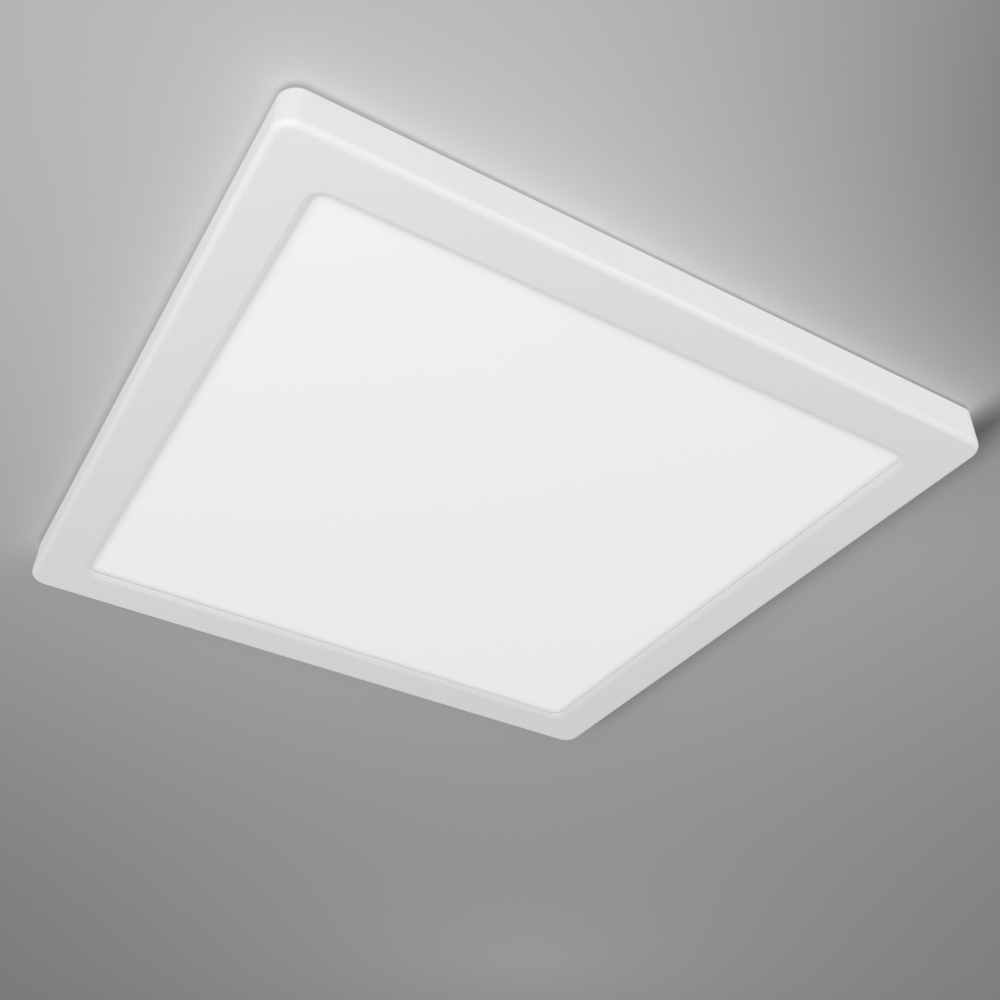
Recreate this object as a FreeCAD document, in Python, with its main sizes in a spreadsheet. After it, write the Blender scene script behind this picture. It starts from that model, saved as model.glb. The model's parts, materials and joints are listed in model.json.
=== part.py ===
"""Slim square flush mount ceiling light with a soft glow behind it.

The row frame has +Z up. Its origin is the centre of the mounting plate's top face, which lies on
the ceiling, so the light hangs below z = 0. X and Y run along the sides of the square.
All sizes are millimetres.
"""
import FreeCAD, Part
import Sketcher
import math
import os
import re

Vector = FreeCAD.Vector

# How far a lead's volume may be from its section times its length.
LEAD_TOLERANCE = 0.02

# How many flat sides stand for the round grommet.
GROMMET_SIDES = 20

# Sizes that a designer would set, each written once.
SIZES = {
    # Moulded body, seen from below
    "lamp_width": 420.0,
    "lamp_drop": 28.0,
    "shadow_gap": 3.0,
    "body_corner": 11.0,
    "edge_round": 3.8,
    "side_narrowing": 0.4,
    "frame_wall": 2.2,
    "face_width": 27.5,
    "opening_corner": 10.5,
    "lip_width": 3.5,
    "lip_rise": 1.65,
    "lip_land": 1.0,
    "lip_edge": 0.4,
    "ledge_inset": 2.0,
    "rib_wall": 2.0,
    "web_wall": 1.6,
    "web_height": 5.0,
    "web_bite": 0.2,
    "boss_radius": 3.5,
    "pilot_radius": 1.3,
    "pilot_depth": 6.0,
    "pilot_room": 1.0,
    "tray_boss_inset": 77.85,
    "ring_boss_inset": 21.85,
    # Opal panel and the light engine behind it
    "diffuser_wall": 2.0,
    "diffuser_seat": 7.0,
    "diffuser_gap": 0.35,
    "diffuser_edge": 0.6,
    "sheet_play": 0.3,
    "guide_setback": 3.0,
    "guide_wall": 3.0,
    "film_wall": 0.3,
    "foam_wall": 1.0,
    "strip_wall": 1.0,
    "strip_foot": 0.2,
    "strip_height": 3.9,
    "strip_end_gap": 15.2,
    "chip_width": 3.5,
    "chip_height": 2.8,
    "chip_depth": 0.8,
    "chip_pitch": 20.0,
    # Sheet steel tray
    "tray_wall": 0.8,
    "tray_bend": 0.7,
    "ear_width": 14.0,
    "ear_margin": 5.5,
    "ear_root": 2.0,
    "ear_corner": 3.0,
    "screw_hole": 1.7,
    "screw_play": 0.1,
    "swage_width": 10.0,
    "swage_height": 0.8,
    "swage_length": 90.0,
    "swage_end": 3.0,
    "swage_inset_x": 71.5,
    "swage_inset_y": 79.5,
    # Glow ring and its strips
    "ring_wall": 2.0,
    "ring_recess": 2.0,
    "ring_setback": 2.5,
    "ring_lip": 3.0,
    "ring_play": 0.3,
    "ring_edge": 0.5,
    "glow_strip_width": 13.0,
    "glow_strip_gap": 16.0,
    "glow_chip_width": 3.0,
    "glow_chip_height": 0.9,
    "glow_chip_pitch": 30.0,
    "glow_chip_offset": 4.5,
    # Ceiling plate
    "plate_margin": 33.5,
    "plate_wall": 1.2,
    "plate_corner": 16.0,
    "plate_bend": 1.1,
    "rim_depth": 8.0,
    "slot_inset_x": 40.0,
    "slot_inset_y": 60.0,
    "slot_length": 20.0,
    "slot_radius": 2.6,
    "slot_seam": 0.001,
    "bead_inset": 22.0,
    "bead_start": 35.0,
    "bead_end_gap": 13.0,
    "bead_width": 8.0,
    "bead_depth": 1.2,
    "bead_end": 2.4,
    "dish_radius": 20.0,
    "dish_depth": 2.0,
    "cable_hole": 10.5,
    "grommet_bore": 8.0,
    "grommet_flange": 12.5,
    "grommet_lip": 1.1,
    # Leaf springs and the brackets that they clip into
    "leaf_wall": 0.6,
    "leaf_width": 14.0,
    "leaf_tail": 30.0,
    "leaf_bow": 2.0,
    "notch_play": 2.0,
    "nose_reach": 5.0,
    "nose_height": 12.0,
    "nose_rise": 3.0,
    "rivet_radius": 1.6,
    "rivet_head": 3.0,
    "rivet_head_height": 1.0,
    "rivet_pitch": 14.0,
    "rivet_place": 8.0,
    "bracket_wall": 1.0,
    "bracket_width": 24.0,
    "bracket_foot": 12.0,
    "bracket_height": 11.4,
    "bracket_setback": 5.4,
    "window_width": 17.0,
    "window_above": 1.5,
    "window_below": 2.6,
    # Driver
    "driver_length": 170.0,
    "driver_width": 58.0,
    "driver_height": 13.5,
    "driver_place_y": 70.0,
    "driver_corner": 3.0,
    "driver_wall": 1.5,
    "driver_lip": 3.0,
    "driver_ear_place": 60.0,
    "driver_ear_width": 14.0,
    "driver_ear_reach": 9.0,
    "vent_length": 26.0,
    "vent_width": 1.6,
    "vent_pitch": 6.0,
    "vents": 9,
    "board_margin": 4.0,
    "board_wall": 1.6,
    "post_height": 2.5,
    "post_radius": 2.5,
    "post_margin": 6.0,
    "transformer_length": 20.0,
    "transformer_width": 17.0,
    "transformer_height": 5.6,
    "winding_length": 12.0,
    "winding_inset": 3.0,
    "winding_depth": 4.2,
    "capacitor_radius": 2.7,
    "capacitor_length": 13.0,
    "capacitor_gap": 1.5,
    "capacitor_inset": 49.3,
    "choke_radius": 4.2,
    "choke_wire": 1.8,
    "driver_edge": 1.2,
    # Terminal block, its buttons and the cable clamp
    "terminal_place_x": 62.0,
    "terminal_length": 24.0,
    "terminal_width": 33.0,
    "terminal_height": 11.0,
    "terminal_edge": 0.8,
    "pole_pitch": 8.0,
    "entry_radius": 1.9,
    "entry_depth": 9.0,
    "entry_height": 3.9,
    "well_length": 5.6,
    "well_width": 4.4,
    "well_depth": 4.6,
    "well_place": 4.0,
    "button_play": 0.3,
    "button_travel": 1.5,
    "button_proud": 1.2,
    "button_slot": 0.8,
    "terminal_ear": 8.0,
    "terminal_ear_height": 2.4,
    "terminal_ear_corner": 1.6,
    "clamp_place_x": 26.0,
    "clamp_length": 9.0,
    "clamp_width": 32.0,
    "clamp_height": 6.0,
    "clamp_corner": 2.4,
    "clamp_edge": 1.2,
    "clamp_seat_play": 0.3,
    "clamp_arch": 3.2,
    "clamp_screw_place": 11.0,
    # Small fasteners
    "head_radius": 2.8,
    "head_height": 1.6,
    "shank_radius": 1.25,
    # How far a cut runs past the wall that it goes through
    "cut_over": 1.0,
    # Leads
    "mains_lead_radius": 0.9,
    "glow_lead_radius": 0.7,
    "lead_height": 2.2,
    "lead_bend": 6.0,
    "live_turn": 15.0,
    "neutral_turn": 21.0,
    "supply_entry": 8.0,
    "earth_place_x": 104.0,
    "earth_place_y": 32.0,
    "tag_eye": 3.6,
    "tag_wall": 0.8,
    "tag_length": 7.0,
    "barrel_wall": 0.6,
    "plug_inset": 19.5,
    "plug_length": 6.0,
    "plug_width": 8.0,
    "plug_height": 5.0,
    "plug_pitch": 2.5,
    "latch_length": 3.0,
    "latch_width": 2.4,
    "latch_height": 0.6,
    "output_spread": 15.0,
}

# Places and sizes that follow from the ones above.
PLACES = {
    # Halves and corner radii of the body, from outside to inside
    "lamp_half": "lamp_width / 2",
    "frame_height": "lamp_drop - shadow_gap",
    "cavity_half": "lamp_half - side_narrowing - frame_wall",
    "cavity_corner": "body_corner - side_narrowing - frame_wall",
    "inner_round": "edge_round - frame_wall",
    "opening_half": "lamp_half - face_width",
    "land_half": "opening_half - lip_width",
    "land_corner": "opening_corner - lip_width",
    "face_wall": "lip_rise + lip_land",
    "diffuser_half": "land_half + diffuser_seat",
    "diffuser_corner": "land_corner + diffuser_seat",
    "ledge_half": "land_half + ledge_inset",
    "ledge_corner": "land_corner + ledge_inset",
    "rib_inner_half": "diffuser_half + sheet_play",
    "rib_inner_corner": "diffuser_corner + sheet_play",
    "rib_outer_half": "rib_inner_half + rib_wall",
    "rib_outer_corner": "rib_inner_corner + rib_wall",
    "boss_line": "(rib_outer_half + cavity_half) / 2",
    "tray_boss_place": "boss_line - tray_boss_inset",
    "ring_boss_place": "boss_line - ring_boss_inset",
    "web_length": "cavity_half - rib_outer_half + 2 * web_bite",
    # Levels, from the face up to the ceiling
    "face_z": "-lamp_drop",
    "face_back_z": "face_z + face_wall",
    "diffuser_z": "face_back_z + diffuser_gap",
    "diffuser_back_z": "diffuser_z + diffuser_wall",
    "guide_back_z": "diffuser_back_z + guide_wall",
    "film_back_z": "guide_back_z + film_wall",
    "tray_z": "film_back_z + foam_wall",
    "tray_back_z": "tray_z + tray_wall",
    "ring_back_z": "-shadow_gap - ring_recess",
    "ring_z": "ring_back_z - ring_wall",
    "plate_z": "-plate_wall",
    # Heights inside the frame, above its face
    "rib_top": "tray_z - face_z - sheet_play",
    "tray_boss_top": "tray_z - face_z",
    "ring_boss_top": "ring_z - face_z",
    # Light engine
    "guide_half": "diffuser_half - guide_setback",
    "guide_corner": "diffuser_corner - guide_setback",
    "skirt_half": "diffuser_half - tray_wall",
    "skirt_corner": "diffuser_corner - tray_wall",
    "skirt_depth": "tray_z - diffuser_back_z",
    "chip_face": "skirt_half - strip_wall",
    "strip_length": "2 * (skirt_half - strip_end_gap)",
    "chips_in_row": "floor(strip_length / chip_pitch)",
    "chip_z": "diffuser_back_z + strip_foot + (strip_height - chip_height) / 2",
    "ear_depth": "boss_line + ear_margin - skirt_half + ear_root",
    "ear_middle": "(boss_line + ear_margin + skirt_half - ear_root) / 2",
    # Glow ring
    "ring_inner_half": "diffuser_half - ring_setback",
    "ring_inner_corner": "diffuser_corner - ring_setback",
    "ring_web_half": "ring_inner_half + ring_wall",
    "ring_web_corner": "ring_inner_corner + ring_wall",
    "ring_outer_half": "cavity_half - ring_play",
    "ring_outer_corner": "cavity_corner - ring_play",
    "ring_height": "ring_back_z - tray_back_z",
    "swage_place_x": "ring_inner_half - swage_inset_x",
    "swage_place_y": "ring_inner_half - swage_inset_y",
    "glow_strip_length": "2 * (ring_boss_place - glow_strip_gap)",
    "glow_chips_in_row": "floor(glow_strip_length / glow_chip_pitch)",
    # Ceiling plate, springs and brackets
    "plate_half": "ring_inner_half - plate_margin",
    "rim_half": "plate_half - plate_wall",
    "rim_corner": "plate_corner - plate_wall",
    "slot_place_x": "plate_half - slot_inset_x",
    "slot_place_y": "plate_half - slot_inset_y",
    "bead_line": "plate_half - bead_inset",
    "bead_length": "bead_line - bead_start - bead_end_gap",
    "bead_middle": "bead_start + bead_length / 2",
    "notch_width": "leaf_width + 2 * notch_play",
    "dish_z": "-dish_depth - plate_wall",
    "leaf_z": "plate_z - leaf_wall / 2",
    "leaf_start": "plate_half - leaf_tail",
    "leaf_line": "plate_half + leaf_bow",
    "nose_line": "leaf_line + nose_reach",
    "nose_z": "-nose_height",
    "bracket_inner": "plate_half + bracket_setback",
    "bracket_outer": "bracket_inner + bracket_wall",
    "bracket_toe": "bracket_outer - bracket_foot",
    "window_top": "nose_z + window_above - tray_back_z",
    "window_bottom": "nose_z - window_below - tray_back_z",
    # Driver
    "driver_half": "driver_length / 2",
    "driver_side": "driver_width / 2",
    "base_top_z": "tray_back_z + driver_wall",
    "cover_height": "driver_height - driver_wall",
    "board_z": "base_top_z + post_height",
    "board_top_z": "board_z + board_wall",
    "post_x": "driver_half - board_margin - post_margin",
    "post_y": "driver_side - board_margin - post_margin",
    "ear_screw_y": "driver_side + driver_ear_reach / 2",
    "base_lip_length": "driver_length - 2 * (driver_wall + sheet_play)",
    "base_lip_width": "driver_width - 2 * (driver_wall + sheet_play)",
    "capacitor_x": "driver_half - capacitor_inset",
    "plug_place_x": "ring_inner_half - plug_inset",
    # Terminal block and buttons
    "terminal_half": "terminal_length / 2",
    "button_length": "well_length - 2 * button_play",
    "button_width": "well_width - 2 * button_play",
    "button_height": "well_depth - button_travel - button_play + button_proud",
    "button_foot_z": "tray_back_z + terminal_height - well_depth + button_travel + button_play",
    "terminal_screw_y": "terminal_width / 2 + terminal_ear / 2",
    "lead_z": "tray_back_z + lead_height",
    "lead_start_x": "terminal_place_x + terminal_half",
}


def number(formula):
    """Work out a formula of named sizes and places."""
    def amount(match):
        word = match.group(0)
        if word in PLACES:
            return f"({float(getattr(places, word))})"
        if word in SIZES:
            return f"({float(getattr(sizes, word))})"
        return word

    return FreeCAD.Units.Quantity(re.sub(r"[a-z]\w*", amount, str(formula))).Value


def tied(formula):
    """Write a formula so that each name in it points at its cell or its property."""
    def point(match):
        word = match.group(0)
        if word in SIZES:
            return "Sizes." + word
        if word in PLACES:
            return "Places." + word
        return word

    return re.sub(r"[a-z]\w*", point, str(formula))


def make_sheet():
    """Keep the driving sizes in one sheet, one named cell each."""
    sheet = doc.addObject("Spreadsheet::Sheet", "Sizes")
    for row, (name, size) in enumerate(SIZES.items(), start=1):
        sheet.set(f"A{row}", name.replace("_", " "))
        sheet.set(f"B{row}", str(size))
        sheet.setAlias(f"B{row}", name)
    return sheet


def make_places():
    """Hold each size that follows from the sheet as a property with its formula."""
    holder = doc.addObject("App::VarSet", "Places")
    for name, formula in PLACES.items():
        holder.addProperty("App::PropertyFloat", name, "Places", "")
        holder.setExpression(name, tied(formula))
    return holder


# ---------------------------------------------------------------- shared steps


def new_body(label, at_z="0", at_x="0", at_y="0", quarter_turns=0):
    """Start a piece at its own place in the lamp."""
    body = doc.addObject("PartDesign::Body", label)
    body.Label = label
    body.AllowCompound = True
    body.Placement.Rotation = FreeCAD.Rotation(Vector(0, 0, 1), 90 * quarter_turns)
    body.setExpression("Placement.Base.x", tied(at_x))
    body.setExpression("Placement.Base.y", tied(at_y))
    body.setExpression("Placement.Base.z", tied(at_z))
    return body


def origin_feature(body, role):
    return next(item for item in body.Origin.OriginFeatures if item.Role == role)


def new_sketch(body, name, level="0", plane="XY_Plane"):
    """Start a sketch on one of the body's own planes, raised by a named level."""
    sketch = body.newObject("Sketcher::SketchObject", name)
    sketch.AttachmentSupport = [(origin_feature(body, plane), "")]
    sketch.MapMode = "FlatFace"
    sketch.setExpression("AttachmentOffset.Base.z", tied(level))
    return sketch


def measure(sketch, kind, points, formula):
    """Add one dimension to a sketch and tie it to its formula."""
    constraint = sketch.addConstraint(Sketcher.Constraint(kind, *points, number(formula)))
    sketch.setExpression(f"Constraints[{constraint}]", tied(formula))


def add_centre(sketch, x, y):
    """Mark a construction point at (x, y) and return its number."""
    centre = sketch.addGeometry(Part.Point(Vector(number(x), number(y), 0)), True)
    measure(sketch, "DistanceX", (-1, 1, centre, 1), x)
    measure(sketch, "DistanceY", (-1, 1, centre, 1), y)
    return centre


def add_rectangle(sketch, width, depth, x="0", y="0"):
    """Draw a sharp rectangle round (x, y)."""
    half_x, half_y = number(width) / 2, number(depth) / 2
    middle = Vector(number(x), number(y), 0)
    corners = [
        middle + Vector(sign_x * half_x, sign_y * half_y, 0)
        for sign_x, sign_y in ((-1, -1), (1, -1), (1, 1), (-1, 1))
    ]
    first = sketch.GeometryCount
    for index, corner in enumerate(corners):
        sketch.addGeometry(Part.LineSegment(corner, corners[(index + 1) % 4]), False)
    for index in range(4):
        next_line = first + (index + 1) % 4
        sketch.addConstraint(Sketcher.Constraint("Coincident", first + index, 2, next_line, 1))
        direction = "Horizontal" if index % 2 == 0 else "Vertical"
        sketch.addConstraint(Sketcher.Constraint(direction, first + index))
    centre = add_centre(sketch, x, y)
    sketch.addConstraint(Sketcher.Constraint("Symmetric", first, 1, first + 2, 1, centre, 1))
    measure(sketch, "DistanceX", (first, 1, first, 2), width)
    measure(sketch, "DistanceY", (first + 1, 1, first + 1, 2), depth)


def add_rounded_rectangle(sketch, width, depth, corner, x="0", y="0"):
    """Draw a rectangle with round corners round (x, y)."""
    half_x, half_y, radius = number(width) / 2, number(depth) / 2, number(corner)
    middle = Vector(number(x), number(y), 0)
    inner_x, inner_y = half_x - radius, half_y - radius
    ends = [
        ((-inner_x, -half_y), (inner_x, -half_y)),
        ((half_x, -inner_y), (half_x, inner_y)),
        ((inner_x, half_y), (-inner_x, half_y)),
        ((-half_x, inner_y), (-half_x, -inner_y)),
    ]
    turns = [(inner_x, -inner_y), (inner_x, inner_y), (-inner_x, inner_y), (-inner_x, -inner_y)]
    first = sketch.GeometryCount
    for start, end in ends:
        line = Part.LineSegment(middle + Vector(*start, 0), middle + Vector(*end, 0))
        sketch.addGeometry(line, False)
    for index, turn in enumerate(turns):
        circle = Part.Circle(middle + Vector(*turn, 0), Vector(0, 0, 1), radius)
        from_angle = math.radians(90 * index - 90)
        arc = Part.ArcOfCircle(circle, from_angle, from_angle + math.pi / 2)
        sketch.addGeometry(arc, False)
    for index in range(4):
        line, arc, next_line = first + index, first + 4 + index, first + (index + 1) % 4
        sketch.addConstraint(Sketcher.Constraint("Tangent", line, 2, arc, 1))
        sketch.addConstraint(Sketcher.Constraint("Tangent", arc, 2, next_line, 1))
        direction = "Horizontal" if index % 2 == 0 else "Vertical"
        sketch.addConstraint(Sketcher.Constraint(direction, line))
    for arc in range(first + 5, first + 8):
        sketch.addConstraint(Sketcher.Constraint("Equal", first + 4, arc))
    centre = add_centre(sketch, x, y)
    sketch.addConstraint(Sketcher.Constraint("Symmetric", first + 4, 3, first + 6, 3, centre, 1))
    measure(sketch, "DistanceX", (first + 3, 1, first + 1, 1), width)
    measure(sketch, "DistanceY", (first, 1, first + 2, 1), depth)
    measure(sketch, "Radius", (first + 4,), corner)


def add_square(sketch, half, corner):
    """Draw a square with round corners, centred on the lamp."""
    add_rounded_rectangle(sketch, f"2 * {half}", f"2 * {half}", corner)


def add_circle(sketch, x, y, radius):
    circle = Part.Circle(Vector(number(x), number(y), 0), Vector(0, 0, 1), number(radius))
    geometry = sketch.addGeometry(circle, False)
    measure(sketch, "DistanceX", (-1, 1, geometry, 3), x)
    measure(sketch, "DistanceY", (-1, 1, geometry, 3), y)
    measure(sketch, "Radius", (geometry,), radius)


def add_outline(sketch, points):
    """Draw a closed outline of straight lines through points given as formulas."""
    corners = [Vector(number(x), number(y), 0) for x, y in points]
    first = sketch.GeometryCount
    for index, corner in enumerate(corners):
        sketch.addGeometry(Part.LineSegment(corner, corners[(index + 1) % len(corners)]), False)
    for index, (x, y) in enumerate(points):
        next_line = first + (index + 1) % len(points)
        sketch.addConstraint(Sketcher.Constraint("Coincident", first + index, 2, next_line, 1))
        measure(sketch, "DistanceX", (-1, 1, first + index, 1), x)
        measure(sketch, "DistanceY", (-1, 1, first + index, 1), y)


def add_cut_rectangle(sketch, width, depth, cut, x="0", y="0"):
    """Draw a rectangle with its corners cut off at 45 degrees round (x, y)."""
    far_x, far_y = f"({width}) / 2", f"({depth}) / 2"
    near_x, near_y = f"({far_x} - ({cut}))", f"({far_y} - ({cut}))"
    turns = [
        ("-", near_x, "-", far_y),
        ("+", near_x, "-", far_y),
        ("+", far_x, "-", near_y),
        ("+", far_x, "+", near_y),
        ("+", near_x, "+", far_y),
        ("-", near_x, "+", far_y),
        ("-", far_x, "+", near_y),
        ("-", far_x, "-", near_y),
    ]
    add_outline(sketch, [
        (f"{x} {sign_x} {reach_x}", f"{y} {sign_y} {reach_y}")
        for sign_x, reach_x, sign_y, reach_y in turns
    ])


def add_octagon(sketch, x, y, radius):
    """Draw the plain eight-sided outline of a small round piece or hole."""
    across = f"2 * ({radius})"
    add_cut_rectangle(sketch, across, across, f"({radius}) * (2 - sqrt(2))", x, y)


def pad(body, sketch, name, height, downward=False, both_ways=False):
    feature = body.newObject("PartDesign::Pad", name)
    feature.Profile = sketch
    feature.setExpression("Length", tied(height))
    feature.Reversed = downward
    feature.Midplane = both_ways
    doc.recompute()
    return feature


def pocket(body, sketch, name, depth, upward=False, both_ways=False):
    """Cut a sketch into the body and make sure that it cut something."""
    before = body.Shape.Volume
    feature = body.newObject("PartDesign::Pocket", name)
    feature.Profile = sketch
    feature.setExpression("Length", tied(depth))
    feature.Reversed = upward
    feature.Midplane = both_ways
    doc.recompute()
    if not feature.Shape.Volume < before:
        raise RuntimeError(f"{body.Label}: {name} cuts nothing")
    return feature


def fillet(body, name, base, edges, radius):
    feature = body.newObject("PartDesign::Fillet", name)
    feature.Base = (base, edges)
    feature.setExpression("Radius", tied(radius))
    doc.recompute()
    return feature


def chamfer(body, name, base, edges, size):
    feature = body.newObject("PartDesign::Chamfer", name)
    feature.Base = (base, edges)
    feature.setExpression("Size", tied(size))
    doc.recompute()
    return feature


def edges_at(feature, level, inside=None, outside=None):
    """Name the edges that lie at one height, within or beyond a half width from the centre."""
    names = []
    for index, edge in enumerate(feature.Shape.Edges, start=1):
        box = edge.BoundBox
        if abs(box.ZMin - level) > 1e-4 or abs(box.ZMax - level) > 1e-4:
            continue
        reach = max(abs(box.XMin), abs(box.XMax), abs(box.YMin), abs(box.YMax))
        if inside is not None and reach > inside + 1e-3:
            continue
        if outside is not None and reach < outside - 1e-3:
            continue
        names.append(f"Edge{index}")
    return names


def on_four_sides(body, name, features):
    """Repeat features on the other three sides of the square."""
    pattern = body.newObject("PartDesign::PolarPattern", name)
    pattern.Originals = features
    pattern.Axis = (origin_feature(body, "Z_Axis"), [""])
    pattern.Angle = 360
    pattern.Occurrences = 4
    body.Tip = pattern
    doc.recompute()
    return pattern


def in_rows_on_four_sides(body, name, feature, sketch, count, pitch, turned=True):
    """Repeat a feature along one side, and that row on all four sides."""
    pattern = body.newObject("PartDesign::MultiTransform", name)
    row = body.newObject("PartDesign::LinearPattern", name + "_row")
    row.Direction = (sketch, ["H_Axis"])
    row.setExpression("Length", tied(f"({count} - 1) * {pitch}"))
    row.setExpression("Occurrences", tied(count))
    steps = [row]
    if turned:
        sides = body.newObject("PartDesign::PolarPattern", name + "_sides")
        sides.Axis = (origin_feature(body, "Z_Axis"), [""])
        sides.Angle = 360
        sides.Occurrences = 4
        steps.append(sides)
    pattern.Originals = [feature]
    pattern.Transformations = steps
    body.Tip = pattern
    doc.recompute()
    return pattern


def group(label, piece, spots):
    """Gather copies of one piece, standing at the given (x, y, z) spots, as one sub-part."""
    copies = []
    for index, (x, y, z) in enumerate(spots, start=1):
        copy = doc.addObject("App::Link", f"{label}_{index}")
        copy.LinkedObject = piece
        for axis, formula in zip("xyz", (x, y, z)):
            copy.setExpression(f"Placement.Base.{axis}", tied(formula))
        copies.append(copy)
    compound = doc.addObject("Part::Compound", label)
    compound.Label = label
    compound.Links = copies
    return compound


def eight_sided(centre, first, second, radius):
    """Draw a plain eight-sided outline round a point, across two directions."""
    points = []
    for corner in range(8):
        angle = math.radians(45) * (corner + 0.5)
        spread = first * math.cos(angle) + second * math.sin(angle)
        points.append(centre + spread * (radius / math.cos(math.radians(22.5))))
    return Part.makePolygon(points + points[:1])


def around_the_square(along, line):
    """List the four spots that lie at one place along each side of the square."""
    return [
        (along, f"-({line})"),
        (line, along),
        (f"-({along})", line),
        (f"-({line})", f"-({along})"),
    ]


def both_sides(place):
    """List one place on either side of the middle."""
    return (f"-{place}", place)


# ---------------------------------------------------------------- the moulded body


def make_front_frame():
    """Mould the body: face, rounded edge, drafted side, sloped lip, seat, rib and bosses."""
    body = new_body("front_frame", "face_z")
    outline = new_sketch(body, "outline")
    add_square(outline, "lamp_half", "body_corner")
    block = body.newObject("PartDesign::Pad", "block")
    block.Profile = outline
    block.setExpression("Length", tied("frame_height"))
    block.setExpression("TaperAngle", "-atan(" + tied("side_narrowing / frame_height") + ")")
    doc.recompute()
    rounded = fillet(body, "front_edge", block, edges_at(block, 0), "edge_round")

    cavity_outline = new_sketch(body, "cavity_outline", "frame_height")
    add_square(cavity_outline, "cavity_half", "cavity_corner")
    cavity = pocket(body, cavity_outline, "cavity", "frame_height - face_wall")
    floor_edges = edges_at(cavity, number("face_wall"), outside=number("opening_half"))
    chamfer(body, "cavity_root", cavity, floor_edges, "inner_round * (2 - sqrt(2))")

    opening_outline = new_sketch(body, "opening_outline")
    add_square(opening_outline, "land_half", "land_corner")
    pocket(body, opening_outline, "opening", "face_wall", upward=True)

    slope_outer = new_sketch(body, "slope_outer")
    add_square(slope_outer, "opening_half", "opening_corner")
    slope_inner = new_sketch(body, "slope_inner", "lip_rise")
    add_square(slope_inner, "land_half", "land_corner")
    before = body.Shape.Volume
    slope = body.newObject("PartDesign::SubtractiveLoft", "lip_slope")
    slope.Profile = slope_outer
    slope.Sections = [slope_inner]
    slope.Ruled = True
    doc.recompute()
    if not slope.Shape.Volume < before:
        raise RuntimeError("front_frame: the lip slope cuts nothing")
    lip_edges = edges_at(slope, 0, inside=number("opening_half"))
    lip_edges += edges_at(slope, number("lip_rise"), inside=number("opening_half"))
    chamfer(body, "lip_edges", slope, lip_edges, "lip_edge")

    ledge = new_sketch(body, "ledge_outline", "face_wall")
    add_square(ledge, "rib_outer_half", "rib_outer_corner")
    add_square(ledge, "ledge_half", "ledge_corner")
    pad(body, ledge, "diffuser_ledge", "diffuser_gap")
    rib = new_sketch(body, "rib_outline", "face_wall")
    add_square(rib, "rib_outer_half", "rib_outer_corner")
    add_square(rib, "rib_inner_half", "rib_inner_corner")
    pad(body, rib, "locating_rib", "rib_top - face_wall")

    tray_spots = both_sides("tray_boss_place")
    ring_spots = ("ring_boss_place",)
    tray_bosses = add_bosses(body, "tray_boss", tray_spots, "tray_boss_top")
    ring_bosses = add_bosses(body, "ring_boss", ring_spots, "ring_boss_top")
    webs = new_sketch(body, "web_outline", "face_wall")
    for x in tray_spots + ring_spots:
        add_rectangle(webs, "web_wall", "web_length", x, "-boss_line")
    web_pads = pad(body, webs, "webs", "web_height")
    on_four_sides(body, "all_bosses", [tray_bosses, ring_bosses, web_pads])
    tray_pilots = add_pilots(body, "tray_pilot", tray_spots, "tray_boss_top")
    ring_pilots = add_pilots(body, "ring_pilot", ring_spots, "ring_boss_top")
    on_four_sides(body, "all_pilots", [tray_pilots, ring_pilots])
    return body


def add_bosses(body, name, spots, top):
    """Raise screw bosses from the inside of the face along one side."""
    sketch = new_sketch(body, name + "_outline", "face_wall")
    for x in spots:
        add_octagon(sketch, x, "-boss_line", "boss_radius")
    return pad(body, sketch, name, f"{top} - face_wall")


def add_pilots(body, name, spots, top):
    """Sink the screw pilots into the tops of the bosses along one side."""
    sketch = new_sketch(body, name + "_outline", top)
    for x in spots:
        add_octagon(sketch, x, "-boss_line", "pilot_radius")
    return pocket(body, sketch, name, "pilot_depth")


# ---------------------------------------------------------------- panel and light engine


def make_diffuser():
    """Cut the opal panel and break its front edge, which shows as a dark line by the lip."""
    body = new_body("diffuser", "diffuser_z")
    outline = new_sketch(body, "outline")
    add_square(outline, "diffuser_half", "diffuser_corner")
    sheet = pad(body, outline, "sheet", "diffuser_wall")
    chamfer(body, "front_edge", sheet, edges_at(sheet, 0), "diffuser_edge")
    return body


def make_sheet_layer(label, level, thickness):
    """Cut one sheet of the stack behind the panel."""
    body = new_body(label, level)
    outline = new_sketch(body, "outline")
    add_square(outline, "guide_half", "guide_corner")
    pad(body, outline, "sheet", thickness)
    return body


def make_led_strips():
    """Stand one circuit strip against each side of the tray's skirt."""
    strips = []
    for turn, side in enumerate(("front", "right", "rear", "left")):
        body = new_body("led_strip_" + side, "diffuser_back_z + strip_foot", quarter_turns=turn)
        outline = new_sketch(body, "outline")
        add_rectangle(outline, "strip_length", "strip_wall", "0", "strip_wall / 2 - skirt_half")
        pad(body, outline, "board", "strip_height")
        strips.append(body)
    return strips


def make_led_chips():
    """Line the chips up along the strips, facing the edge of the light guide."""
    body = new_body("led_chips", "chip_z")
    outline = new_sketch(body, "outline")
    first_x = "-(chips_in_row - 1) * chip_pitch / 2"
    add_rectangle(outline, "chip_width", "chip_depth", first_x, "chip_depth / 2 - chip_face")
    chip = pad(body, outline, "chip", "chip_height")
    in_rows_on_four_sides(body, "rows", chip, outline, "chips_in_row", "chip_pitch")
    return body


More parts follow.
